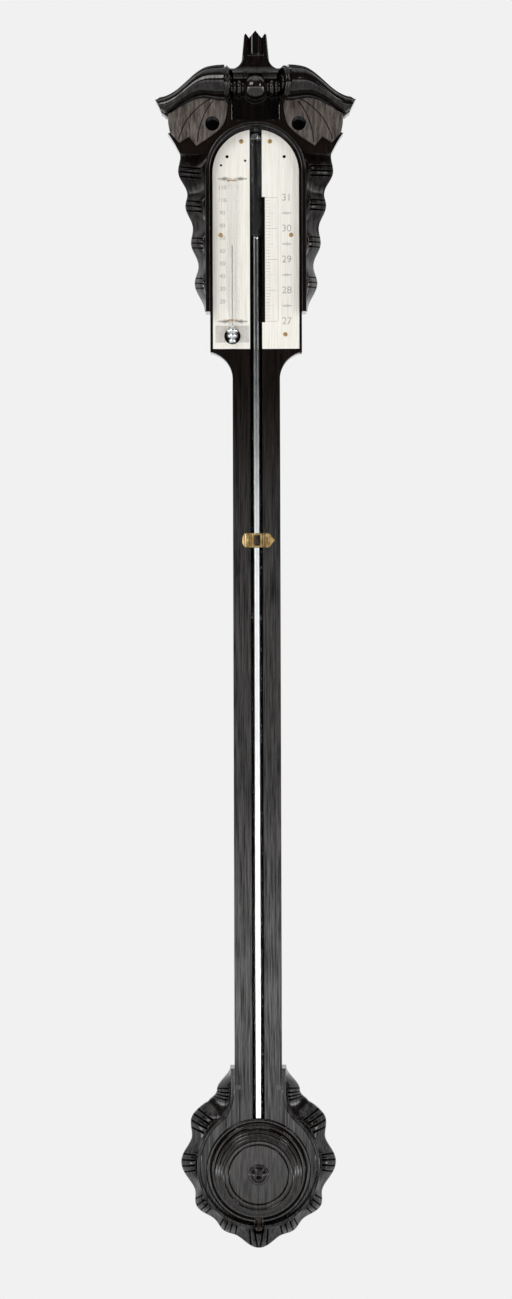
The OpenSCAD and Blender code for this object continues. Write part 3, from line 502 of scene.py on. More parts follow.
def carved_wood(c):
    """Carvings: near-black polish, rubbed brown on the high places, painted black and dull in the cuts as
    shade.
    """
    return wood(
        "Carved hardwood", c.carved_dark, c.carved_light, CARVED_GRAIN, 0.09, 0.4, worn=0.8, shine=0.18
    )


def satin_carving(name, c, sheen_levels=None):
    """Carved wood with a satin oil finish; its cuts are painted black as shade, and two levels give it a
    painted sheen.
    """
    return wood(name, c.carved_dark, c.carved_light, CARVED_GRAIN, 0.2, 0.05, 0.8, 0.34, sheen_levels)


def wing_wood(c):
    """Wings: satin, with a painted sheen, strong low down and dull at the top, and cuts painted black as
    shade.
    """
    return satin_carving("Carved hardwood with painted sheen", c, WING_SHEEN_LEVELS)


def scalloped_wood(c):
    """Collar: a satin oil finish that shows the swell of the lobes, with its cuts painted black as shade."""
    return satin_carving("Satin carved hardwood", c)


def leaf_wood(c):
    """Leaf panels: faces left rough and unpolished, in a paler copy of the wood that paints in the light they
    catch.
    """
    return wood("Cut hardwood, painted light", c.leaf_dark, c.leaf_light, (420, 420, 60), 0.5, 0.1)


def turned_wood(c):
    """Turnings: the same wood, smoother off the lathe, with the grain running up."""
    return wood(
        "Turned hardwood", c.wood_dark, c.wood_light, (900, 300, 60), 0.07, 0.5, worn=0.6, shine=0.24
    )


def bone(c):
    """Register plates: warm white with faint straight fibres and a low polish."""
    made, tree, shader = new_material("Polished bone")
    fibres = noise(tree, (900, 900, 26), 5.0)
    stains = noise(tree, (30, 30, 18), 3.0)
    tone = ramp(tree, fibres, [(0.35, colour("e9e5da")), (0.6, colour(c.bone))])
    tone = blended(tree, greys(tree, stains, (0.5, 0.0), (0.8, 0.35)), tone, colour("e3dcc9"))
    set_inputs(tree, shader, {
        "Base Color": tone,
        "Roughness": greys(tree, fibres, (0.3, 0.42), (0.7, 0.3)),
        "Normal": bumped(tree, fibres, 0.01 * MM, 0.4),
    })
    return made


def mottled(name, scale, detail, tones, rough, metal=0.0, relief=None):
    """Material that drifts between two tones; rough is one value, or stops along the same drift."""
    made, tree, shader = new_material(name)
    drift = noise(tree, scale, detail)
    set_inputs(tree, shader, {
        "Base Color": ramp(tree, drift, [(place, colour(tone)) for place, tone in tones]),
        "Roughness": greys(tree, drift, *rough) if isinstance(rough, tuple) else rough,
        "Metallic": metal,
    })
    if relief:
        set_inputs(tree, shader, {"Normal": bumped(tree, drift, *relief)})
    return made


def engraving(c):
    """Engraved lines: worn filling, grey where the wax is left and pale where it has gone."""
    return mottled("Engraved filling", (260, 260, 260), 4.0, ((0.4, c.ink), (0.75, "c9c5bc")), 0.6)


def clear_glass(name, body, uneven):
    """Drawn glass: clear, faintly uneven, so highlights waver along its length; thin glass has less body."""
    made, tree, shader = new_material(name)
    set_inputs(tree, shader, {
        "Base Color": colour("fafcfb"), "Roughness": 0.01, "IOR": 1.47, "Transmission Weight": 1.0,
        "Alpha": body, "Normal": bumped(tree, noise(tree, (60, 60, 9), 2.0), uneven * MM, 0.2),
    })
    return made


def tube_glass():
    """Wall of the barometer tube: it magnifies the mercury to the tube's full width."""
    return clear_glass("Drawn glass", 0.85, 0.006)


def stem_glass():
    """Wall of the thermometer: so clear on a white plate that its edges hardly show."""
    return clear_glass("Thin drawn glass", 0.3, 0.004)


def quicksilver():
    """Mercury: a liquid mirror, a little dulled by oxide."""
    tones, rough = ((0.3, "d6d8da"), (0.7, "e6e7e8")), ((0.3, 0.03), (0.7, 0.08))
    return mottled("Mercury", (90, 90, 40), 3.0, tones, rough, metal=1.0)


def black_brass():
    """Dark, worn brass: the blacked portable screw, the clip's sunk window, and painted shade along the foot
    of each reed.
    """
    tones, rough = ((0.4, "14110e"), (0.7, "4a4034")), ((0.3, 0.5), (0.7, 0.35))
    return mottled("Blacked brass and painted reed shade", (700, 700, 260), 4.0, tones, rough, metal=0.6)


def brass(c):
    """Lacquered brass: warm metal, browned where the lacquer has gone."""
    tones, rough = ((0.35, c.brass), (0.75, "7d6238")), ((0.3, 0.22), (0.75, 0.42))
    return mottled("Lacquered brass", (220, 220, 220), 5.0, tones, rough, metal=1.0, relief=(0.02 * MM, 0.3))


def boxwood(c):
    """Boxwood: close-grained yellow wood, waxed."""
    return wood("Boxwood", "9c7440", c.boxwood, (500, 500, 40), 0.42, 0.1)


def calfskin():
    """Calfskin: soft brown leather with a fine pebble."""
    tones = (0.35, "6b4d33"), (0.65, "8f6c4a")
    return mottled("Calfskin", (900, 900, 900), 3.0, tones, 0.75, relief=(0.1 * MM, 0.5))


def cork():
    """Cork: pale brown with dark flecks."""
    tones = (0.36, "5a3d22"), (0.46, "a98358")
    return mottled("Cork", (700, 700, 700), 4.0, tones, 0.85, relief=(0.15 * MM, 0.6))


def made_once(build, *given):
    """The material that a function builds, built the first time it is asked for."""
    name = "kept_" + build.__name__
    kept = bpy.data.materials.get(bpy.context.scene.get(name, ""))
    if kept is None:
        kept = build(*given)
        bpy.context.scene[name] = kept.name
    return kept


# Shapes


def loft(rings, cuts=None):
    """Skins closed rings of points and closes both ends; cuts marks how deep in a cut each point is."""
    bm = bmesh.new()
    around, along = len(rings[0]), len(rings) - 1
    marks = bm.verts.layers.float.new("cut") if cuts else None
    for v in bmesh.ops.create_grid(bm, x_segments=around, y_segments=along, size=0.5)["verts"]:
        j, i = round((v.co.y + 0.5) * along), round((v.co.x + 0.5) * around) % around
        v.co = rings[j][i]
        if cuts:
            v[marks] = cuts[j][i]
    close_ends(bm)
    return bm


def curve_through(points, steps=8):
    """Smooth line through points, as a list of (x, y)."""
    made = []
    padded = [points[0]] + list(points) + [points[-1]]
    for a, b, c, d in zip(padded, padded[1:], padded[2:], padded[3:]):
        for i in range(steps):
            t = i / steps
            made.append(tuple(
                q + 0.5 * t * (r - p + t * (2 * p - 5 * q + 4 * r - s + t * (3 * q - p - 3 * r + s)))
                for p, q, r, s in zip(a, b, c, d)
            ))
    return made + [points[-1]]


def along_line(points, share):
    """Point at a share of the length of a broken line."""
    lengths = [math.dist(a, b) for a, b in zip(points, points[1:])]
    left = share * sum(lengths)
    for (a, b), length in zip(zip(points, points[1:]), lengths):
        if left <= length:
            return Vector(a).lerp(Vector(b), left / length)
        left -= length
    return Vector(points[-1])


def rim_x(z):
    """Half-width of the hood's rim at a level."""
    return math.sqrt(RIM_R ** 2 - (z - ARCH_Z) ** 2) if z > ARCH_Z else RIM_R


def arm_under(x):
    """Level of a swan neck's underside."""
    share = max(0.0, (x - ARM_X) / ARM_LEN)
    return ARM_Z + wave(ARM_FALL, share) - wave(ARM_HEIGHT, share) / 2


RIM_EDGE = 0.9
LEG_STEPS, ARCH_STEPS = 40, 120


def hood_rim():
    """Rim round the head: straight legs and an arch, rounded at the front."""
    inner, edge_front = HEAD_R + 0.1, RIM_FRONT - RIM_EDGE
    section = [(inner, HOOD_BACK), (inner, edge_front)] + arc(inner + RIM_EDGE, edge_front, RIM_EDGE, 180, 90)
    section += [(RIM_R - 1.9, RIM_FRONT), (RIM_R - 1.6, RIM_FRONT - 0.35), (RIM_R - 1.3, RIM_FRONT - 0.1)]
    section += arc(RIM_R - RIM_EDGE, edge_front, RIM_EDGE, 100, 0) + [(RIM_R, HOOD_BACK)]
    legs = [LEG_END + (ARCH_Z - LEG_END) * i / LEG_STEPS for i in range(LEG_STEPS)]
    path = [(z, 0.0) for z in legs] + [(ARCH_Z, math.pi * i / ARCH_STEPS) for i in range(ARCH_STEPS + 1)]
    path += [(z, math.pi) for z in reversed(legs)]
    return loft([[at(r * math.cos(turn), d, z + r * math.sin(turn)) for r, d in section] for z, turn in path])


LEAF_INNER = ((25, 42.9), (23, 40), (24.2, 31), (27, 22.5), (35.2, 14.9), (48.7, 6))
LEAF_FOOT = ((48.7, 6), (54.8, 13.6), (62.7, 8.6), (70.4, 17))
LEAF_OUTER = ((71.4, 32.6), (71.9, 26), (70.4, 17))
LEAF_VEINS = (((35.1, 42.5), (45.5, 31), (47.9, 9.5)), ((37.6, 44.5), (57.5, 33), (63, 12)))
LEAF_CELLS = 150
LEAF_FRONT = 29.0
LEAF_EDGE = 0.9
EYE_X, EYE_Z, EYE_R = 35.5, 24.5, 5.9
EYE_FLOOR = 18.5
EYE_EDGE = 0.6
VEIN_WIDTH = 1.5
VEIN_FLOOR = 0.45


def leaf(sizes):
    """Carved leaf on the right: two points below, two cut veins and a drilled eye; veins, eye and sides
    painted as shade.
    """
    t = np.linspace(0, 1, 60)[:, None]
    veins = [(1 - t) ** 2 * a + 2 * t * (1 - t) * b + t ** 2 * c for a, b, c in np.array(LEAF_VEINS)]
    inner, outer = curve_through(LEAF_INNER), curve_through(LEAF_OUTER)
    corners = [Vector(p) for p in (LEAF_INNER[0], LEAF_OUTER[0], LEAF_INNER[-1], LEAF_OUTER[-1])]

    def from_veins(x, z):
        return [float(np.min(np.hypot(line[:, 0] - x, line[:, 1] - z))) for line in veins]

    def from_eye(x, z):
        return math.hypot(x - EYE_X, z - EYE_Z) - EYE_R

    def place(u, v):
        x = LEAF_INNER[0][0] + (LEAF_OUTER[0][0] - LEAF_INNER[0][0]) * u
        flat = Vector((x, arm_under(x))) * (1 - v) + along_line(LEAF_FOOT, u) * v
        flat += along_line(inner, v) * (1 - u) + along_line(outer, v) * u
        flat -= corners[0].lerp(corners[1], u) * (1 - v) + corners[2].lerp(corners[3], u) * v
        depth = LEAF_FRONT + 1.3 * math.sin(math.pi * u) * ease(v * 2) - 0.9 * v
        depth -= sum(cut(away, VEIN_WIDTH, sizes.vein_depth) for away in from_veins(*flat))
        depth -= 0.7 * rounded(1 - 40 * min(u, 1 - u, 1 - v) / LEAF_EDGE)
        depth -= cut(from_eye(*flat), 2 * EYE_EDGE, 0.5)
        return at(flat.x, depth, flat.y)

    bm = bmesh.new()
    draped(bm, LEAF_CELLS, LEAF_CELLS, place)
    outside = [e for e in bm.edges if e.is_boundary]
    inside = [v for v in bm.verts if from_eye(v.co.x, v.co.z) < 0]
    bmesh.ops.delete(bm, geom=inside, context="VERTS")
    rim = [e for e in bm.edges if e.is_boundary and e not in outside]
    for v in {v for e in rim for v in e.verts}:
        away = Vector((v.co.x - EYE_X, v.co.z - EYE_Z)).normalized() * EYE_R
        v.co.x, v.co.z = EYE_X + away.x, EYE_Z + away.y
    # Painted shade: faces along the veins take the dark carving.
    for face in bm.faces:
        middle = face.calc_center_median()
        face.material_index = 1 if min(from_veins(middle.x, middle.z)) < VEIN_FLOOR else 0
    # Painted shade: the sides, the eye's wall and the back take the dark carving.
    for edges, floor in ((outside, HOOD_BACK), (rim, EYE_FLOOR)):
        walls = bmesh.ops.extrude_edge_only(bm, edges=[e for e in edges if e.is_valid])["geom"]
        for v in only(walls, bmesh.types.BMVert):
            v.co.y = -floor
        for face in only(walls, bmesh.types.BMFace):
            face.material_index = 1
    for face in close_ends(bm):
        face.material_index = 1
    return bm


def leaf_board():
    """Board behind the leaves, from the arch up to the swan necks."""
    inner = RIM_R - 1
    right = [(0.0, 27.9), (19.6, 27.9), (19.6, 42.8), (ARM_X, 42.8)]
    right += [tuple(along_line(LEAF_INNER, i / 12)) for i in range(1, 13)]
    right += list(LEAF_FOOT[1:]) + [(72.2, 16.8), (71.1, 15.5), (66.6, 8.3), (62.25, 0.0)]
    right += arc(0, ARCH_Z, inner, math.degrees(math.asin(-ARCH_Z / inner)), 90, 20)[:-1]
    bm = bmesh.new()
    for side in (1, -1):
        points = [(side * x, z) for x, z in right + [(0.0, ARCH_Z + inner)]]
        flat_shape(bm, points, HOOD_BACK, BOARD_FRONT)
    return bm


WING_TOP = -0.1
WING_LENGTH = 128.4
WING_FALL = 14.5
WING_CUTS = 3
WING_ROWS, WING_COLUMNS = 480, 56
WING_TILT_RIGHT, WING_TILT_LEFT = 0.06, 0.2


def wing(sizes, tilt):
    """Scalloped side carving on the right: it falls from the rim to a wavy edge, with cuts on each lobe."""
    crests = [share * WING_LENGTH for share, _ in WING_REACH[1::2]]
    swells = [(share, 1 if i % 2 else -1) for i, (share, _) in enumerate(WING_REACH)]
    rings, marks = [], []
    for j in range(WING_ROWS + 1):
        t = j / WING_ROWS
        z = WING_TOP - WING_LENGTH * t
        inner, reach = rim_x(z) + 0.1, RIM_R + wave(WING_REACH, t)
        width = reach - inner
        swell = sizes.swell * wave(swells, t)
        ring, mark = [at(inner, 4, z)], [0.0]
        for i in range(WING_COLUMNS + 1):
            f = i / WING_COLUMNS
            x = inner + width * f
            window = ease((f - 0.08) / 0.2) * (1 - 0.5 * ease((f - 0.86) / 0.14)) * min(1.0, width / 8)
            along = WING_LENGTH * t + tilt * (x - reach)
            sunk = window * cuts_at(along, crests, sizes.wing_cut_pitch, WING_CUTS, sizes)
            depth = BOARD_FRONT - WING_FALL * f ** 1.35 + swell * math.sin(math.pi * f ** 0.8)
            depth -= sunk + 1.1 * rounded((f - 0.9) / 0.1)
            mark.append(sunk / sizes.cut_depth)
            ring.append(at(x, max(5.5, depth), z))
        ring += [at(reach - 0.2, 6.5, z), at(reach - 1.2 if width > 3 else inner + width / 2, 4.2, z)]
        rings.append(ring)
        marks.append(mark + [0.0, 0.0])
    return loft(rings, marks)


CREST_DEPTH = 29.8
NECK_BACK = 6.0
NECK_OUT, NECK_TAPER = 38.2, 12.0
NECK_ROWS = 140
NECK_SHEAR_RIGHT, NECK_SHEAR_LEFT = 0.36, 0.08
NECK_ROLL = (
    (0.84, 0.4), (0.9, 0.36), (0.96, 0.25), (1, 0.06), (0.97, -0.14), (0.88, -0.28), (0.76, -0.355),
)
NECK_SECTION = (
    [(0, -0.5), (0, 0.5), (0.4, 0.5), (0.765, 0.5), (0.785, 0.495), (0.797, 0.48), (0.8, 0.455)]
    + [(0.795, 0.432), (0.78, 0.42), (0.79, 0.4), (0.81, 0.392)]
    + curve_through(NECK_ROLL, 6)
    + [(0.735, -0.355), (0.72, -0.37), (0.72, -0.4), (0.735, -0.42)]
    + [(0.73, -0.455), (0.7, -0.48), (0.65, -0.5)]
)


def swan_neck(shear):
    """Falling horn of the pediment: a fillet above a bold roll, blunt and undercut at its tip."""
    rings = []
    for j in range(NECK_ROWS + 1):
        t = j / NECK_ROWS
        middle, high = ARM_Z + wave(ARM_FALL, t), wave(ARM_HEIGHT, t)
        ring = []
        for across, up in NECK_SECTION:
            depth = NECK_BACK + (NECK_OUT - NECK_TAPER * t) * across
            x = ARM_X + ARM_LEN * t
            x += shear * max(0.0, depth - CREST_DEPTH) * (1 - ease(t / 0.35))
            x -= 5.5 * ease((t - 0.6) / 0.4) * (0.5 - up)
            ring.append(at(x, depth, middle + high * up))
        rings.append(ring)
    return loft(rings)


def rosette(bm, side, shear):
    """Turned disc with a raised border and boss that closes a swan neck."""
    profile = [(0, 5.1), (2.2, 5.0)] + arc(5.4, 3.7, 1.3, 90, 0)
    profile += [(6.9, 2.6), (8.6, 2.3), (10.2, 2.4)] + arc(11.8, 2.9, 1.3, 170, 10)
    profile += [(13.2, 2.5)] + arc(13.5, 1.7, 0.9, 80, -90) + [(13.6, 0.0), (0, 0.0)]
    other = bmesh.new()
    turned(other, profile, Vector((0, 0, 0)), Vector((-side, 0, 0)), Vector((0, 0, 1)))
    place = Matrix.Translation(at(side * (ARM_X - 0.1), CREST_DEPTH, ARM_Z))
    add_mesh(bm, other, place @ Matrix.Rotation(side * math.atan(shear), 4, "Z"))


SPINDLE_Z = 53.7
BALL_R = 10.5


def spindle():
    """Turned ball with two beads on each side."""
    half = [(0, BALL_R)] + arc(0, 0, BALL_R, 87, 24, 21) + [(10.4, 4.5), (10.9, 4.4)]
    half += arc(13.4, 4.6, 2.1, 175, 5, 10) + [(15.7, 4.3)] + arc(17.3, 4.2, 1.5, 175, 5, 10)
    half += [(19.3, 4.2), (19.9, 4.2), (19.9, 0)]
    profile = [(r, -x) for x, r in reversed(half[1:])] + [(r, x) for x, r in half]
    middle = at(0, CREST_DEPTH, SPINDLE_Z)
    return turned(bmesh.new(), profile, middle, Vector((1, 0, 0)), Vector((0, 0, 1)), steps=128)


# Points of half the crown's top edge, from the middle outwards, as (x, z).
CROWN_TOP = ((0, 102.3), (5.2, 95.7), (8, 98.9), (9.2, 97.5), (11, 94))
FINIAL_LOW, FINIAL_HIGH = 28.0, 71.5
FINIAL_COLUMNS, FINIAL_ROWS = 96, 220
FINIAL_BACK = 6.05
FINIAL_FRONT = 25.0
ROOT_HALF, ROOT_FRONT = 19.5, 19.0
FLARE_LOW, FLARE_TOP, FLARE_OUT = 71.8, 82.8, 13.6
LIP_LOW, LIP_START, LIP_OUT = 64.5, 66.0, 7.0
CROWN_HALF, CROWN_HIGH, CROWN_TAPER = 11.0, 16.0, 1.7
GOUGE_HALF, GOUGE_LOW, GOUGE_DEEP = 6.6, 80.5, 5.6
CHEEK_HALF, CHEEK_LOW, CHEEK_BACK, CHEEK_FRONT = 24.9, 42.9, 6.0, 14.9


def finial():
    """Crown with a gouged front; it flares to a lip over the spindle and to cheeks behind the rosettes."""
    def half_width(z):
        if z < FLARE_LOW:
            return ROOT_HALF
        if z < FLARE_TOP:
            return CROWN_HALF + FLARE_OUT * rounded((FLARE_TOP - z) / (FLARE_TOP - FLARE_LOW))
        return CROWN_HALF - CROWN_TAPER * (z - FLARE_TOP) / CROWN_HIGH

    def crown_top(x):
        for (a, low), (b, high) in zip(CROWN_TOP, CROWN_TOP[1:]):
            if x <= b:
                return low + (high - low) * (x - a) / (b - a)
        return CROWN_TOP[-1][1]

    def place(u, v):
        half = half_width(FINIAL_LOW + FINIAL_HIGH * v)
        x = (2 * u - 1) * half
        z = FINIAL_LOW + (crown_top(abs(x)) - FINIAL_LOW) * v
        depth = FINIAL_FRONT if z > LIP_LOW else ROOT_FRONT
        if LIP_LOW < z < FLARE_TOP:
            depth += LIP_OUT * rounded((FLARE_TOP - z) / (FLARE_TOP - LIP_START))
        depth -= 1.1 * rounded(1 - (half - abs(x)) / 1.4)
        scoop = math.sqrt(max(0.0, 1 - (x / GOUGE_HALF) ** 2))
        depth -= GOUGE_DEEP * scoop * ease((z - GOUGE_LOW) / 2.6)
        return at(x, depth, z)

    bm = bmesh.new()
    draped(bm, FINIAL_COLUMNS, FINIAL_ROWS, place)
    walls = bmesh.ops.extrude_edge_only(bm, edges=[e for e in bm.edges if e.is_boundary])["geom"]
    for v in only(walls, bmesh.types.BMVert):
        v.co.y = -FINIAL_BACK
    close_ends(bm)
    cheeks = bmesh.new()
    corners = ((-1, CHEEK_LOW), (1, CHEEK_LOW), (1, FLARE_LOW), (-1, FLARE_LOW))
    flat_shape(cheeks, [(side * CHEEK_HALF, z) for side, z in corners], CHEEK_BACK, CHEEK_FRONT, 0.6)
    add_mesh(bm, cheeks)
    return bm


FOOT_ARC = FOOT_R * (math.pi / 2 + HOLLOW_TURN)
HOLLOW_ARC = HOLLOW_R * HOLLOW_TURN
COLLAR_PATH = FOOT_ARC + HOLLOW_ARC + 19.3
COLLAR_FRONT = 32.0
COLLAR_FALL = 13.0
COLLAR_CUTS = 4
COLLAR_ROWS, COLLAR_COLUMNS = 1280, 48
LOBES_FROM = 3.4
NOTCH_HALF = 4.2

# Swells of the lobes along the collar: 1 is the crest of a lobe, -1 a hollow.
COLLAR_SWELLS = (
    (0, 1), (0.07, -1), (0.133, 1), (0.205, -1), (0.28, 1), (0.37, -1), (0.468, 1), (0.56, -1), (0.645, 1),
    (0.76, -1), (0.86, 1), (1, -0.6),
)


def foot_edge(s):
    """Point of the foot's edge and the way out of it, at a distance from the bottom: x, z, out x, out z."""
    if s < FOOT_ARC:
        out_x, out_z = math.sin(s / FOOT_R), -math.cos(s / FOOT_R)
        return FOOT_R * out_x, FOOT_Z + FOOT_R * out_z, out_x, out_z
    if s < FOOT_ARC + HOLLOW_ARC:
        turn = HOLLOW_TURN - (s - FOOT_ARC) / HOLLOW_R
        out_x, out_z = math.cos(turn), math.sin(turn)
        return HOLLOW_X - HOLLOW_R * out_x, HOLLOW_Z - HOLLOW_R * out_z, out_x, out_z
    return SHAFT_HALF, HOLLOW_Z + s - FOOT_ARC - HOLLOW_ARC, 1.0, 0.0


def collar(sizes):
    """Scalloped collar round the foot: a narrow rim, then carved lobes with cuts down to a wavy edge."""
    crests = [share * COLLAR_PATH for share, swell in COLLAR_SWELLS if swell > 0]
    rings, marks = [], []
    for j in range(COLLAR_ROWS + 1):
        s = (2 * j / COLLAR_ROWS - 1) * COLLAR_PATH
        side, s = (-1 if s < 0 else 1), abs(s)
        t = min(1.0, s / COLLAR_PATH)
        x, z, out_x, out_z = foot_edge(s)
        width = max(0.3, wave(COLLAR_REACH, t) - LOBES_FROM)
        swell = 1.1 * sizes.swell * wave(COLLAR_SWELLS, t)
        high = COLLAR_FRONT - 8.0 * ease((NOTCH_HALF - s) / 0.5)
        section = [(0.15, 2.0), (0.15, high - 1.0)] + arc(0.95, high - 0.8, 0.8, 180, 90, 4)
        section += arc(2.2, high - 0.8, 0.8, 90, 0, 4)
        section += [(3.0, min(high - 1.2, 28.6)), (3.2, min(high - 1.4, 27.4))]
        mark = [0.0] * len(section)
        for i in range(COLLAR_COLUMNS + 1):
            f = i / COLLAR_COLUMNS
            window = ease((f - 0.02) / 0.14) * (1 - 0.4 * ease((f - 0.88) / 0.12)) * min(1.0, width / 7)
            along = s + 0.16 * (f - 0.5) * width
            sunk = window * cuts_at(along, crests, sizes.collar_cut_pitch, COLLAR_CUTS, sizes)
            depth = BOARD_FRONT - COLLAR_FALL * f ** 1.4 + swell * math.sin(math.pi * f ** 0.85)
            depth -= sunk + 1.2 * rounded((f - 0.9) / 0.1)
            mark.append(sunk / sizes.cut_depth)
            under_rim = high - 1.5 + 34 * max(0.0, f - 0.15)
            section.append((LOBES_FROM + width * f, max(6.8, min(depth, under_rim))))
        section += [(LOBES_FROM + width * 0.99, 6.4), (LOBES_FROM + width * 0.5, 2.2)]
        rings.append([at(side * (x + out_x * p), d, z + out_z * p) for p, d in section])
        marks.append(mark + [0.0, 0.0])
    return loft(rings, marks)


def open_ring(profile, gap, top=False):
    """Ring about the cover's axis, open at the bottom or the top by a gap in degrees each way."""
    bm = bmesh.new()
    start = 180.0 if top else 0.0
    span = {"start": start + gap, "end": start + 360 - gap}
    turned_out(bm, profile + profile[:1], 0, COVER_Z, FACE, steps=160, **span)
    close_ends(bm)
    return bm


def cover():
    """Turned cap: flange, step, drum, two beads with a hollow between, and a panel with a scribed ring."""
    bm = bmesh.new()
    panel = [(3.0, 24.5), (3.4, 24.5), (23.4, 24.5), (23.7, 24.5), (24.0, 24.3), (24.4, 23.7), (24.8, 24.3)]
    panel += [(25.1, 24.5), (25.4, 24.5), (26.8, 24.5), (27.2, 24.5), (27.6, 24.3), (27.9, 24.25)]
    panel += arc(29.35, 23.75, 1.5, 160, -20, 12) + [(31.0, 22.6)]
    panel += arc(33.9, 23.0, 2.5, 190, 262, 8) + [(33.2, 20.4)] + arc(33.9, 18.9, 1.6, 110, -10, 12)
    panel += [(35.2, 18.0), (34.9, 17.4), (34.9, 6.4), (35.3, 5.2), (36.0, 4.4), (36.4, 4.0), (36.4, 1.2)]
    panel += [(32.0, 1.2), (32.0, 21.0), (3.0, 21.0), (3.0, 24.5)]
    turned_out(bm, panel, 0, COVER_Z, FACE, steps=192)
    bmesh.ops.remove_doubles(bm, verts=bm.verts, dist=WELD)
    flange = [(34.4, 0.0), (41.9, 0.0)] + arc(41.9, 1.1, 1.1, -90, 90, 8) + [(40.0, 2.25), (39.4, 2.0)]
    flange += arc(37.6, 2.3, 1.4, 0, 110, 8) + [(36.2, 3.9), (34.4, 3.9)]
    add_mesh(bm, open_ring(flange, 4.6))
    spigot = [(29.6, -4.0), (31.7, -4.0), (31.95, -3.7), (31.95, 6.0), (29.6, 6.0)]
    add_mesh(bm, open_ring(spigot, 9.8, top=True))
    return bm


def button():
    """Turned button with a bead, a hollow and a dimple."""
    profile = [(0, 4.75), (0.9, 4.85), (1.7, 5.3)] + arc(3.4, 4.5, 1.35, 130, 0, 8)
    profile += [(4.6, 3.6), (4.75, 2.9), (5.3, 2.5)] + arc(6.2, 1.9, 0.7, 140, 30, 5) + [(6.9, 1.55)]
    profile += arc(7.7, 0.8, 0.8, 100, -90, 8) + [(2.9, 0.0), (2.9, -2.3), (0, -2.3)]
    return turned_out(bmesh.new(), profile, 0, COVER_Z, FACE + 24.5, steps=96)


TUBE_R = 4.2
BORE_R = 3.0
TUBE_LOW = -842.3
TUBE_TOP = 13.1
MERCURY_TOP = -68.5
MENISCUS = 1.6


def glass_tube():
    """Barometer tube, sealed and rounded at the top, with the empty space over the mercury."""
    space = arc(0, TUBE_TOP, BORE_R, 90, 0, 8) + [(BORE_R, TUBE_TOP - 1.1), (BORE_R, MERCURY_TOP + 1)]
    space += arc(0, MERCURY_TOP, BORE_R, 0, 90, 8, MENISCUS)
    wall = [(0, TUBE_LOW), (3.6, TUBE_LOW), (TUBE_R, TUBE_LOW + 0.8), (TUBE_R, TUBE_LOW + 2.3)]
    wall += [(TUBE_R, TUBE_TOP - 1.1)] + arc(0, TUBE_TOP, TUBE_R, 0, 90, 10)
    bm = bmesh.new()
    for profile in (space, wall):
        turned_up(bm, profile, 0, TUBE_DEPTH)
    return bm


def mercury_column():
    """Mercury in the tube, with its rounded top."""
    low = TUBE_LOW + 0.3
    profile = [(0, low), (BORE_R, low), (BORE_R, MERCURY_TOP - 1.5)]
    profile += arc(0, MERCURY_TOP - 0.1, BORE_R, 0, 90, 8, MENISCUS)
    return turned_up(bmesh.new(), profile, 0, TUBE_DEPTH)


CLIP_Z = -318.0
CLIP_HALF = 6.0
CLIP_LEFT, CLIP_RIGHT = -11.9, 14.9
CLIP_ROUND, CLIP_POINT = -8.6, 10.3
CLIP_THICK = 1.2
CLIP_RINGS = 270
# Reeds of the clip: middle, width and height.
CLIP_REEDS = (
    (-7.2, 1.0, 0.7), (-5.6, 1.0, 0.7), (-3.3, 1.7, 0.5), (3.5, 1.5, 0.5), (5.5, 1.0, 0.7), (6.6, 0.8, 0.7),
    (9.9, 0.9, 0.7),
)


def tube_clip():
    """Reeded saddle over the tube, with a sunk window, a round left end and a pointed right end."""
    rings = []
    for j in range(CLIP_RINGS):
        x = CLIP_LEFT + (CLIP_RIGHT - CLIP_LEFT) * j / (CLIP_RINGS - 1)
        half = CLIP_HALF
        front = max(FACE + CLIP_THICK, TUBE_DEPTH + math.sqrt(max(0.0, 6.55 ** 2 - x * x)))
        back = max(FACE, TUBE_DEPTH + math.sqrt(max(0.0, 4.5 ** 2 - x * x)))
        for middle, width, high in CLIP_REEDS:
            front += high * math.cos(math.pi * max(-0.5, min(0.5, (x - middle) / width)))
        if x < CLIP_ROUND:
            half *= math.sqrt(max(0.02, 1 - ((x - CLIP_ROUND) / 3.4) ** 2))
            front += 1.1 * math.sin(math.pi * min(1.0, (CLIP_ROUND - x) / 3.3)) ** 0.7
        if x > CLIP_POINT:
            half *= max(0.03, (CLIP_RIGHT - x) / (CLIP_RIGHT - CLIP_POINT))
        window = ease((x + 2.2) / 0.3) * ease((2.7 - x) / 0.3)
        ring = [at(x, back, CLIP_Z - half)]
        for i in range(41):
            v = i / 20 - 1
            worn = 0.5 * max(0.0, (abs(v) - 0.9) / 0.1) ** 2
            sunk = 0.9 * window * ease((0.74 - abs(v)) / 0.05)
            ring.append(at(x, front - worn - sunk, CLIP_Z + half * v))
        rings.append(ring + [at(x, back, CLIP_Z + half)])
    bm = loft(rings)
    # The sunk window and a thin line along the foot of each reed take the dark brass; along the reeds it is
    # painted shade.
    for face in bm.faces:
        spot = face.calc_center_median()
        window = abs(spot.x - 0.25) < 2.3 and abs(spot.z - CLIP_Z) < 4.35
        groove = any(abs(abs(spot.x - middle) - width / 2) < 0.2 for middle, width, _ in CLIP_REEDS)
        face.material_index = 1 if window or groove else 0
    return bm


# Ribs of the bulb: level and radius.
BULB_RIBS = ((-145.9, 5.3), (-150.0, 4.6), (-154.1, 3.4))
STEM_R = 3.0
STEM_TOP = -24.5
THREAD_R = 0.32


def thermometer_glass():
    """Thermometer stem with a ribbed bulb."""
    outer = [(0, -156.5), (1.2, -156.4)]
    for level, radius in reversed(BULB_RIBS):
        outer += arc(radius - 2.0, level, 2.0, -72, 72, 8, 2.05)
    outer += [(3.2, -143.2), (STEM_R, -142.0), (STEM_R, -141.0), (STEM_R, STEM_TOP - 1.5)]
    return turned_up(bmesh.new(), outer + arc(0, STEM_TOP, STEM_R, 0, 90, 8), STEM_X, STEM_DEPTH)


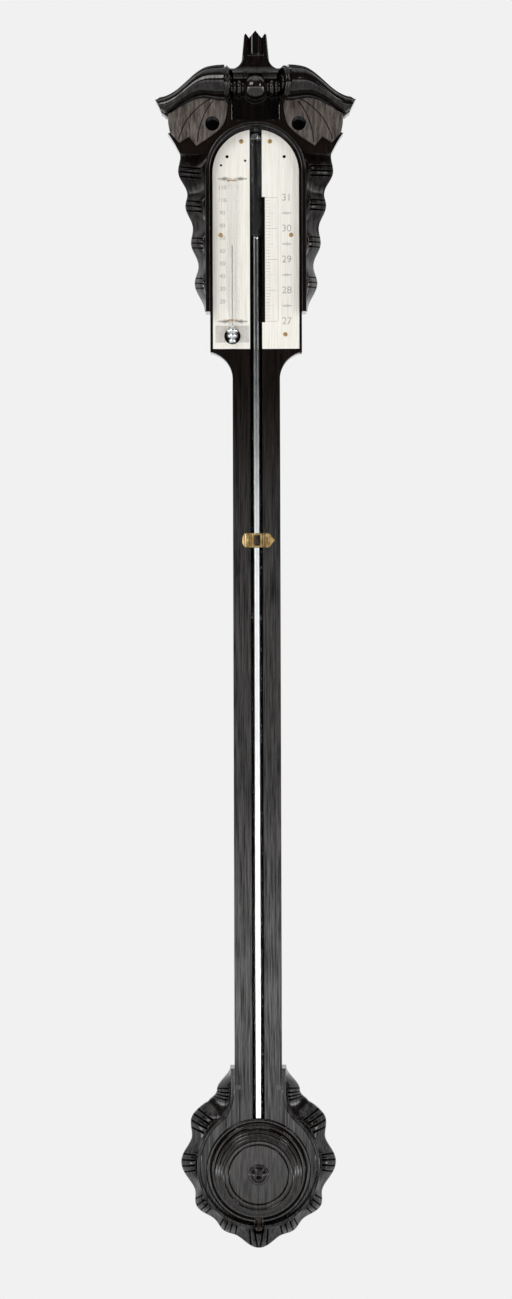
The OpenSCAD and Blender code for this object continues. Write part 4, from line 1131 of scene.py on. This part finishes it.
def thermometer_thread():
    """Mercury of the thermometer: a fine thread on a full bulb."""
    profile = [(0, -75.5)] + [(THREAD_R, z) for z in (-75.8, -76.5, -142.5, -143.5)]
    for level, radius in BULB_RIBS:
        profile += arc(radius - 2.5, level, 1.7, 72, -72, 8, 1.75)
    return turned_up(bmesh.new(), profile + [(0, -155.8)], STEM_X, STEM_DEPTH, steps=40)


ON_PLATE = PLATE_FRONT + 0.02
INCH = 25.4
INCHES_LOW, INCHES_TOP = 27, 31
INCHES_TOP_Z = -36.3
INCH_START, INCH_LINE, INCH_NUMBERS, INCH_DIGITS = 8.0, 18.2, 25.3, 5.6
DEGREE = 1.041
TWENTY_Z = -121.75
DEGREE_NUMBERS, DEGREE_DIGITS = -27.6, 3.3
HATCH_LEFT, HATCH_RIGHT, HATCH_LOW, HATCH_TOP = -33.4, -5.7, -155.3, -141.4
HATCH_PITCH = 0.85
BULB_Z = -150.0
BULB_CLEAR = 7.0


def inch(value):
    """Level of a mark on the inch scale."""
    return INCHES_TOP_Z - (INCHES_TOP - value) * INCH


def lozenge(bm, x, z, length, height, line):
    """Engraved pointed ornament: an outline, a small inner lozenge and a stroke."""
    for size in (0.5, 0.25):
        half, rise = length * size, height * size
        corners = [(x - half, z), (x, z + rise), (x + half, z), (x, z - rise)]
        for a, b in zip(corners, corners[1:] + corners[:1]):
            bar(bm, a, b, line, ON_PLATE)
    bar(bm, (x - length / 2, z), (x + length / 2, z), line, ON_PLATE)


def weather_marks(sizes):
    """Inch scale: tenths, half inches and inches, with plain numbers."""
    bm = bmesh.new()
    for tenth in range((INCHES_TOP - INCHES_LOW) * 10 + 1):
        z = inch(INCHES_LOW + tenth / 10)
        end = 17.6 if tenth % 10 == 0 else 14.6 if tenth % 5 == 0 else 12.2
        bar(bm, (INCH_START, z), (end, z), sizes.line * (1.3 if tenth % 10 == 0 else 1.0), ON_PLATE)
    bar(bm, (INCH_LINE, inch(INCHES_LOW)), (INCH_LINE, inch(INCHES_TOP)), sizes.line, ON_PLATE)
    for value in range(INCHES_LOW, INCHES_TOP + 1):
        numeral(bm, str(value), INCH_NUMBERS, inch(value), INCH_DIGITS, ON_PLATE)
    for value in range(INCHES_LOW, INCHES_TOP):
        lozenge(bm, INCH_NUMBERS, inch(value + 0.5), 8.0, 2.0, sizes.line)
    return bm


def hatching(bm, line):
    """Band of slanting lines, left clear round the bulb."""
    offset = HATCH_LOW - HATCH_RIGHT
    while offset < HATCH_TOP - HATCH_LEFT:
        start, end = max(HATCH_LEFT, HATCH_LOW - offset), min(HATCH_RIGHT, HATCH_TOP - offset)
        middle = (BULB_Z - offset + STEM_X) / 2
        away = math.hypot(middle - STEM_X, middle + offset - BULB_Z)
        gap = math.sqrt(max(0.0, BULB_CLEAR ** 2 - away ** 2) / 2)
        spans = [(start, min(end, middle - gap)), (max(start, middle + gap), end)]
        for a, b in spans if gap else [(start, end)]:
            if b > a:
                bar(bm, (a, a + offset), (b, b + offset), line, ON_PLATE)
        offset += HATCH_PITCH


def thermometer_marks(sizes):
    """Thermometer scale with plain numbers, four pointed ornaments and a hatched band round the bulb."""
    bm = bmesh.new()
    for degree in range(14, 115, 2):
        z = TWENTY_Z + (degree - 20) * DEGREE
        ten = degree % 10 == 0
        for side in (-1, 1):
            near = STEM_X + side * 3.5
            bar(bm, (near, z), (near + side * (2.2 if ten else 1.3), z), sizes.line, ON_PLATE)
        if ten and 20 <= degree <= 110:
            numeral(bm, str(degree), DEGREE_NUMBERS, z, DEGREE_DIGITS, ON_PLATE)
    for x in (STEM_X - 3.4, STEM_X + 3.4):
        bar(bm, (x, -131), (x, STEM_TOP), sizes.line * 0.8, ON_PLATE)
    for z in (-20.7, -138.0):
        for x in (-25.6, -12.6):
            lozenge(bm, x, z, 11.4, 3.2, sizes.line * 1.5)
            lozenge(bm, x, z, 5.0, 2.0, sizes.line * 1.5)
    hatching(bm, sizes.line * 1.5)
    return bm


# Screws of the plates: x, z and the turn of the slot in radians. Those of the cistern: node, x, z and depth.
PLATE_SCREW_R = 1.8
PLATE_SCREWS = (
    (-11.7, 10.0, 0.6), (11.7, 10.0, 2.2), (-28.9, -66.9, 1.2), (28.9, -66.9, 0.3), (24.0, -148.7, 1.0),
)
CISTERN_SCREW_R = 2.0
CISTERN_SCREWS = (("strap_screws", 21.8, -835.8, 11.75), ("bridge_screws", 10.8, -861.3, 13.45))

SCREW_TIP = -885.5
SCREW_PITCH = 1.5
THREAD_START = SCREW_TIP + 13.0
THREAD_TURNS, TURN_STEPS = 9, 36
THREAD_RIDGE = ((2.4, 0.0), (2.82, 0.55), (2.82, 0.75), (2.4, 1.3))


def portable_screw():
    """Portable screw: a smooth end with a neck groove, and a fine thread where the bridge holds it."""
    up = Vector((0, 0, 1))
    profile = [(0, 0), (1.5, 0), (2.4, 0.4), (2.8, 1.1), (2.85, 2.0), (2.85, 5.7), (2.5, 6.2), (2.85, 6.7)]
    profile += [(2.85, 12.0), (2.5, 12.6), (2.5, 28.4), (2.3, 28.9), (2.0, 28.95), (2.0, 30.35), (0, 30.35)]
    bm = bmesh.new()
    turned_up(bm, [(r, SCREW_TIP + h) for r, h in profile], 0, CISTERN_DEPTH, steps=48)
    origin = at(0, CISTERN_DEPTH, THREAD_START)
    ridge = [bm.verts.new(origin + Vector((r, 0, h))) for r, h in THREAD_RIDGE]
    edges = [bm.edges.new(pair) for pair in zip(ridge, ridge[1:])]
    bm.faces.new(ridge)
    spun = bmesh.ops.spin(
        bm, geom=ridge + edges, cent=origin, axis=up, angle=2 * math.pi * THREAD_TURNS,
        steps=TURN_STEPS * THREAD_TURNS, dvec=up * (SCREW_PITCH / TURN_STEPS), use_merge=False,
    )
    ends = only(spun["geom_last"], bmesh.types.BMVert)
    bm.faces.new(sorted(ends, key=lambda v: v.co.z))
    return bm


def sheet_sides(line, thick):
    """The two sides of a sheet that follows a line in a turned profile."""
    one, other = [], []
    for i, (r, z) in enumerate(line):
        (r0, z0), (r1, z1) = line[max(0, i - 1)], line[min(len(line) - 1, i + 1)]
        across = Vector((z1 - z0, r0 - r1)).normalized() * (thick / 2)
        one.append((r + across.x, z + across.y))
        other.append((r - across.x, z - across.y))
    return one, other


LEATHER_R = 15.8
LEATHER_THICK = 1.2


def leather():
    """Leather base: a clamped rim and a crown on the pad, which meet at the foot of a slack fold."""
    rim = [(LEATHER_R, LEATHER_LOW + 0.6), (14.0, LEATHER_LOW + 0.6)]
    rim += arc(12.5, LEATHER_LOW - 0.15, 0.75, 90, 180, 8)
    line = rim + arc(10.8, FOLD_LOW, 0.95, 0, -180, 16) + [(9.85, FOLD_LOW + 0.15 * i) for i in range(1, 10)]
    line += arc(9.0, LEATHER_LOW - 0.5, 0.85, 0, 90, 8)
    line += [(6.0, LEATHER_LOW + 0.35), (0.0, LEATHER_LOW + 0.35)]
    one, other = sheet_sides(line, LEATHER_THICK)
    foot = len(rim) + 8
    outer, crown = one[:foot + 1] + other[foot::-1] + one[:1], one[:foot - 1:-1] + other[foot:]
    return [turned_up(bmesh.new(), profile, 0, CISTERN_DEPTH) for profile in (outer, crown)]


POOL_R = 13.15
POOL_TOP = -824.0
APART = 0.05


def mercury_pool():
    """Mercury of the cistern: one part round the tube, and one below it, over the leather."""
    levels = [(TUBE_R + APART, TUBE_DEPTH, z) for z in (TUBE_LOW - APART, POOL_TOP)]
    levels += [(POOL_R, CISTERN_DEPTH, z) for z in (POOL_TOP, POOL_SPLIT)]
    turns = [2 * math.pi * i / SMALL_ROUND for i in range(SMALL_ROUND)]
    upper = loft([[at(r * math.cos(a), depth + r * math.sin(a), z) for a in turns] for r, depth, z in levels])
    top = POOL_SPLIT - APART
    profile = [(0, top), (POOL_R, top), (POOL_R, POOL_LOW), (0, POOL_LOW)]
    return upper, turned_up(bmesh.new(), profile, 0, CISTERN_DEPTH)


# Operators: one for each piece or group of pieces


class BarometerOperator:
    """Shared by the operators: the sizes and colours that they read."""

    bl_options = {"REGISTER", "UNDO"}

    def settings(self, context):
        """The sizes and the colours that the panel shows."""
        return context.scene.barometer_sizes, context.scene.barometer_colours


class BAROMETER_OT_case(BarometerOperator, bpy.types.Operator):
    """Dresses the two boards of the case and its plugs"""

    bl_idname = "barometer.case"
    bl_label = "Case"

    def execute(self, context):
        sizes, colours = self.settings(context)
        for node in ("head_board", "backboard"):
            dress(node, made_once(polished_wood, colours), sizes.edge)
        dress("shaft_plugs", made_once(turned_wood, colours), sizes.edge)
        return {"FINISHED"}


class BAROMETER_OT_hood(BarometerOperator, bpy.types.Operator):
    """Builds the hood's rim, its board and two carved leaves with drilled eyes"""

    bl_idname = "barometer.hood"
    bl_label = "Hood"

    def execute(self, context):
        sizes, colours = self.settings(context)
        carved, lit_leaf_wood = made_once(carved_wood, colours), made_once(leaf_wood, colours)
        piece(hood_rim(), "hood_rim", "case", [carved], ["hood_arch"])
        piece(leaf_board(), "leaf_board", "case", [carved])
        # The leaf faces take the paler wood, painted light; the veins, eye and sides take the dark carving,
        # painted shade.
        piece(leaf(sizes), "leaf_right", "case", [lit_leaf_wood, carved])
        piece(leaf(sizes), "leaf_left", "case", [lit_leaf_wood, carved], mirror=True)
        return {"FINISHED"}


class BAROMETER_OT_wings(BarometerOperator, bpy.types.Operator):
    """Builds the scalloped side carvings"""

    bl_idname = "barometer.wings"
    bl_label = "Side carvings"

    def execute(self, context):
        sizes, colours = self.settings(context)
        carved = made_once(wing_wood, colours)
        right = wing(sizes, WING_TILT_RIGHT)
        piece(right, "wing_right", "case", [carved], ["side_carving_right"], 60)
        left = wing(sizes, WING_TILT_LEFT)
        piece(left, "wing_left", "case", [carved], ["side_carving_left"], 60, mirror=True)
        return {"FINISHED"}


class BAROMETER_OT_crest(BarometerOperator, bpy.types.Operator):
    """Builds the swan necks, rosettes, spindle and finial"""

    bl_idname = "barometer.crest"
    bl_label = "Crest"

    def execute(self, context):
        _, colours = self.settings(context)
        carved, lathe = made_once(carved_wood, colours), made_once(turned_wood, colours)
        right = swan_neck(NECK_SHEAR_RIGHT)
        piece(right, "neck_right", "case", [carved], ["swan_neck_right"])
        left = swan_neck(NECK_SHEAR_LEFT)
        piece(left, "neck_left", "case", [carved], ["swan_neck_left"], mirror=True)
        discs = bmesh.new()
        rosette(discs, 1, NECK_SHEAR_RIGHT)
        rosette(discs, -1, NECK_SHEAR_LEFT)
        piece(discs, "rosettes", "case", [carved], ["scroll_rosettes"])
        piece(spindle(), "spindle", "case", [lathe], ["crest_spindle"])
        piece(finial(), "finial", "case", [carved], ["crest_finial"])
        return {"FINISHED"}


class BAROMETER_OT_collar(BarometerOperator, bpy.types.Operator):
    """Builds the scalloped collar round the foot"""

    bl_idname = "barometer.collar"
    bl_label = "Collar"

    def execute(self, context):
        sizes, colours = self.settings(context)
        carved = made_once(scalloped_wood, colours)
        piece(collar(sizes), "collar", "case", [carved], ["base_collar"], 60)
        return {"FINISHED"}


class BAROMETER_OT_plates(BarometerOperator, bpy.types.Operator):
    """Dresses the register plates and engraves their scales"""

    bl_idname = "barometer.plates"
    bl_label = "Register plates"

    def execute(self, context):
        sizes, colours = self.settings(context)
        ivory, ink = made_once(bone, colours), made_once(engraving, colours)
        for node in ("weather_plate", "thermometer_plate"):
            dress(node, ivory)
        piece(weather_marks(sizes), "weather_marks", "case", [ink])
        piece(thermometer_marks(sizes), "thermometer_marks", "case", [ink])
        heads = bmesh.new()
        for x, z, turn in PLATE_SCREWS:
            screw_head(heads, x, z, ON_PLATE, PLATE_SCREW_R, turn)
        piece(heads, "plate_screw_heads", "case", [made_once(brass, colours)], ["plate_screws"])
        return {"FINISHED"}


class BAROMETER_OT_glass(BarometerOperator, bpy.types.Operator):
    """Builds the barometer tube with its clip, the thermometer and their mercury"""

    bl_idname = "barometer.glass"
    bl_label = "Glass and mercury"

    def execute(self, context):
        _, colours = self.settings(context)
        silver = made_once(quicksilver)
        piece(glass_tube(), "tube_glass", "case", [made_once(tube_glass)], ["glass_tube"])
        piece(mercury_column(), "tube_mercury", "case", [silver], ["mercury_column"])
        thin = made_once(stem_glass)
        piece(thermometer_glass(), "stem_glass", "case", [thin], ["thermometer_stem"], 70)
        piece(thermometer_thread(), "stem_mercury", "case", [silver], ["thermometer_mercury"])
        metal = made_once(brass, colours)
        piece(tube_clip(), "clip", "case", [metal, made_once(black_brass)], ["tube_clip"])
        for node in ("stem_staples", "clip_pins"):
            dress(node, metal)
        return {"FINISHED"}


class BAROMETER_OT_cistern(BarometerOperator, bpy.types.Operator):
    """Dresses the cistern behind the cover and builds its leather, mercury and screws"""

    bl_idname = "barometer.cistern"
    bl_label = "Cistern"

    def execute(self, context):
        sizes, colours = self.settings(context)
        metal, box = made_once(brass, colours), made_once(boxwood, colours)
        for node in ("cistern_cap", "cistern_body", "leather_ring"):
            dress(node, box, sizes.edge)
        for node in ("cistern_strap", "screw_bridge", "pressure_pad"):
            dress(node, metal, sizes.edge * 0.5)
        dress("tube_bush", made_once(cork), sizes.edge)
        self.soft_pieces()
        for name, x, z, depth in CISTERN_SCREWS:
            heads = bmesh.new()
            for side in (-1, 1):
                screw_head(heads, side * x, z, depth, CISTERN_SCREW_R, 0.8 + side)
            piece(heads, name[:-1] + "_heads", "case", [metal], [name])
        dark = made_once(black_brass)
        piece(portable_screw(), "portable_pin", "screw", [dark], ["portable_screw"])
        return {"FINISHED"}

    def soft_pieces(self):
        """Leather in two pieces, a rim and a crown, and the cistern's mercury in two parts."""
        hide, liquid = made_once(calfskin), made_once(quicksilver)
        (outer, crown), (upper, lower) = leather(), mercury_pool()
        piece(outer, "leather_rim", "case", [hide], ["cistern_leather"])
        made = piece(crown, "leather_crown", None, [hide])
        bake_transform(made)
        piece(upper, "pool_round_tube", "case", [liquid], ["mercury_pool"])
        made = piece(lower, "pool_below_tube", "case", [liquid])
        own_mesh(made)


class BAROMETER_OT_cover(BarometerOperator, bpy.types.Operator):
    """Builds the turned cistern cover and its button"""

    bl_idname = "barometer.cover"
    bl_label = "Cistern cover"

    def execute(self, context):
        _, colours = self.settings(context)
        lathe = made_once(turned_wood, colours)
        piece(cover(), "cover_turning", "cover", [lathe], ["cistern_cover"])
        piece(button(), "button_turning", "cover", [lathe], ["cover_button"])
        return {"FINISHED"}


def stage_plane(name, corners, material):
    """Flat sheet of the studio, given by its corner and two sides."""
    origin, side, up = corners
    bm = bmesh.new()
    draped(bm, 1, 1, lambda u, v: Vector(origin) + Vector(side) * u + Vector(up) * v)
    mesh = bpy.data.meshes.new(name)
    bm.to_mesh(mesh)
    bm.free()
    mesh.materials.append(material)
    made = bpy.data.objects.new(name, mesh)
    bpy.context.scene.collection.objects.link(made)


def backdrop_material(name, seen):
    """Pale studio sheet: even to the camera and in reflections, matt to the light, clear from behind."""
    made = bpy.data.materials.new(name)
    made.use_nodes = True
    tree = made.node_tree
    tree.nodes.clear()
    grain = noise(tree, (3, 3, 3), 2.0)
    paint = greys(tree, grain, (0.3, 0.76), (0.7, 0.8))
    matt = add(tree, "ShaderNodeBsdfDiffuse", {"Color": paint}).outputs["BSDF"]
    even = add(tree, "ShaderNodeEmission", {"Color": seen}).outputs["Emission"]
    clear = add(tree, "ShaderNodeBsdfTransparent").outputs["BSDF"]
    path = add(tree, "ShaderNodeLightPath").outputs
    ray = blended(tree, 1.0, path["Is Camera Ray"], path["Is Glossy Ray"], "LIGHTEN")
    back = add(tree, "ShaderNodeNewGeometry").outputs["Backfacing"]
    front = add(tree, "ShaderNodeMixShader", {0: ray, 1: matt, 2: even}).outputs["Shader"]
    both = add(tree, "ShaderNodeMixShader", {0: back, 1: front, 2: clear}).outputs["Shader"]
    add(tree, "ShaderNodeOutputMaterial", {"Surface": both})
    return made


def softbox(name, place, target, width, height, power):
    """Rectangular studio light aimed at a point."""
    light = bpy.data.lights.new(name, "AREA")
    light.shape = "RECTANGLE"
    light.size, light.size_y = width, height
    light.energy = power
    made = bpy.data.objects.new(name, light)
    made.location = place
    made.rotation_euler = (Vector(target) - Vector(place)).to_track_quat("-Z", "Y").to_euler()
    bpy.context.scene.collection.objects.link(made)


# Studio in metres; the camera's roll is in degrees.
STAGE_HALF, FLOOR_Z, WALL_GAP = 4.0, -1.6, 0.001
SENSOR, LENS = 36, 107.85
CAMERA_PLACE, CAMERA_ROLL = (-0.0009, -3.2256, -0.4078), 0.17
STRIP_GLOW, STRIP_MIDDLES = 2.0, (0.182, 0.818)


class BAROMETER_OT_stage(BarometerOperator, bpy.types.Operator):
    """Sets the wall, floor, lights, surroundings and camera"""

    bl_idname = "barometer.stage"
    bl_label = "Studio"

    def execute(self, context):
        _, colours = self.settings(context)
        scene = context.scene
        sheet = backdrop_material("Matt studio paint", colour(colours.wall))
        width = (2 * STAGE_HALF, 0, 0)
        stage_plane("wall", ((-STAGE_HALF, WALL_GAP, FLOOR_Z), width, (0, 0, 4.6)), sheet)
        floor = (-STAGE_HALF, -STAGE_HALF, FLOOR_Z)
        stage_plane("floor", (floor, width, (0, STAGE_HALF + WALL_GAP, 0)), sheet)
        softbox("key", (-1.25, -1.5, 1.15), (0, 0, -0.25), width=1.1, height=0.9, power=21)
        softbox("fill", (1.6, -1.7, 0.75), (0, 0, -0.4), width=0.35, height=0.7, power=9)
        self.surroundings(scene, colour(colours.wall))
        scene.view_settings.view_transform = "Standard"
        lens = bpy.data.cameras.new("camera")
        lens.sensor_width = SENSOR
        lens.lens = LENS
        camera = bpy.data.objects.new("camera", lens)
        camera.location = CAMERA_PLACE
        camera.rotation_euler = (math.radians(90), math.radians(CAMERA_ROLL), 0)
        scene.collection.objects.link(camera)
        scene.camera = camera
        return {"FINISHED"}

    def surroundings(self, scene, seen):
        """Bright below eye level and dim above it, with light panels at the sides and two narrow strips."""
        world = bpy.data.worlds.new("Studio")
        scene.world = world
        world.use_nodes = True
        tree = world.node_tree
        tree.nodes.clear()
        way = add(tree, "ShaderNodeTexCoord").outputs["Generated"]
        parts = add(tree, "ShaderNodeSeparateXYZ", {"Vector": way}).outputs
        height, across = (
            add(tree, "ShaderNodeMapRange", {"Value": parts[axis], "From Min": -1.0}).outputs["Result"]
            for axis in "ZX"
        )
        side = greys(tree, across, (0.0, 1.0), (0.1, 0.0), (0.9, 0.0), (1.0, 1.0))
        lowered = add(tree, "ShaderNodeMath", {0: side, 1: -0.02, 2: height}, operation="MULTIPLY_ADD")
        glow = greys(
            tree, lowered.outputs["Value"], (0.0, 0.6), (0.38, 0.9), (0.43, 1.6), (0.455, 3.2), (0.482, 1.2),
            (0.512, 1.15), (0.53, 0.04), (0.88, 0.06), (0.96, 1.2),
        )
        strip = (-0.01, 0.0), (-0.004, STRIP_GLOW), (0.004, STRIP_GLOW), (0.01, 0.0)
        stops = [(middle + away, value) for middle in STRIP_MIDDLES for away, value in strip]
        strips = greys(tree, across, *stops)
        reach = greys(tree, height, (0.3, 0.0), (0.34, 1.0), (0.8, 1.0), (0.84, 0.0))
        glow = blended(tree, 1.0, glow, times(tree, strips, reach), "ADD")
        panels = {"Value": side, "To Min": 1.0, "To Max": 4.0}
        power = add(tree, "ShaderNodeMapRange", panels).outputs["Result"]
        light = add(tree, "ShaderNodeBackground", {"Color": glow, "Strength": power}).outputs["Background"]
        plain = add(tree, "ShaderNodeBackground", {"Color": seen, "Strength": 1.0}).outputs["Background"]
        ray = add(tree, "ShaderNodeLightPath").outputs["Is Camera Ray"]
        both = add(tree, "ShaderNodeMixShader", {0: ray, 1: light, 2: plain}).outputs["Shader"]
        add(tree, "ShaderNodeOutputWorld", {"Surface": both})


class BAROMETER_PT_panel(bpy.types.Panel):
    """Sidebar panel with the sizes, the colours and the steps of the build"""

    bl_idname = "BAROMETER_PT_panel"
    bl_label = "Stick barometer"
    bl_space_type = "VIEW_3D"
    bl_region_type = "UI"
    bl_category = "Barometer"

    def draw(self, context):
        for group in (context.scene.barometer_sizes, context.scene.barometer_colours):
            box = self.layout.box()
            for name in group.__annotations__:
                box.prop(group, name)
        for step in STEPS:
            self.layout.operator(step.bl_idname)


STEPS = (
    BAROMETER_OT_case, BAROMETER_OT_hood, BAROMETER_OT_wings, BAROMETER_OT_crest, BAROMETER_OT_collar,
    BAROMETER_OT_plates, BAROMETER_OT_glass, BAROMETER_OT_cistern, BAROMETER_OT_cover, BAROMETER_OT_stage,
)
CLASSES = (BarometerSizes, BarometerColours) + STEPS + (BAROMETER_PT_panel,)


def register():
    """Registers the classes and gives the scene its sizes and colours."""
    for kind in CLASSES:
        bpy.utils.register_class(kind)
    bpy.types.Scene.barometer_sizes = PointerProperty(type=BarometerSizes)
    bpy.types.Scene.barometer_colours = PointerProperty(type=BarometerColours)


def unregister():
    """Takes the sizes, the colours and the classes away again."""
    del bpy.types.Scene.barometer_colours
    del bpy.types.Scene.barometer_sizes
    for kind in reversed(CLASSES):
        bpy.utils.unregister_class(kind)


def main():
    """Builds every piece in order."""
    register()
    for step in STEPS:
        group, name = step.bl_idname.split(".")
        getattr(getattr(bpy.ops, group), name)()


if __name__ == "__main__":
    main()
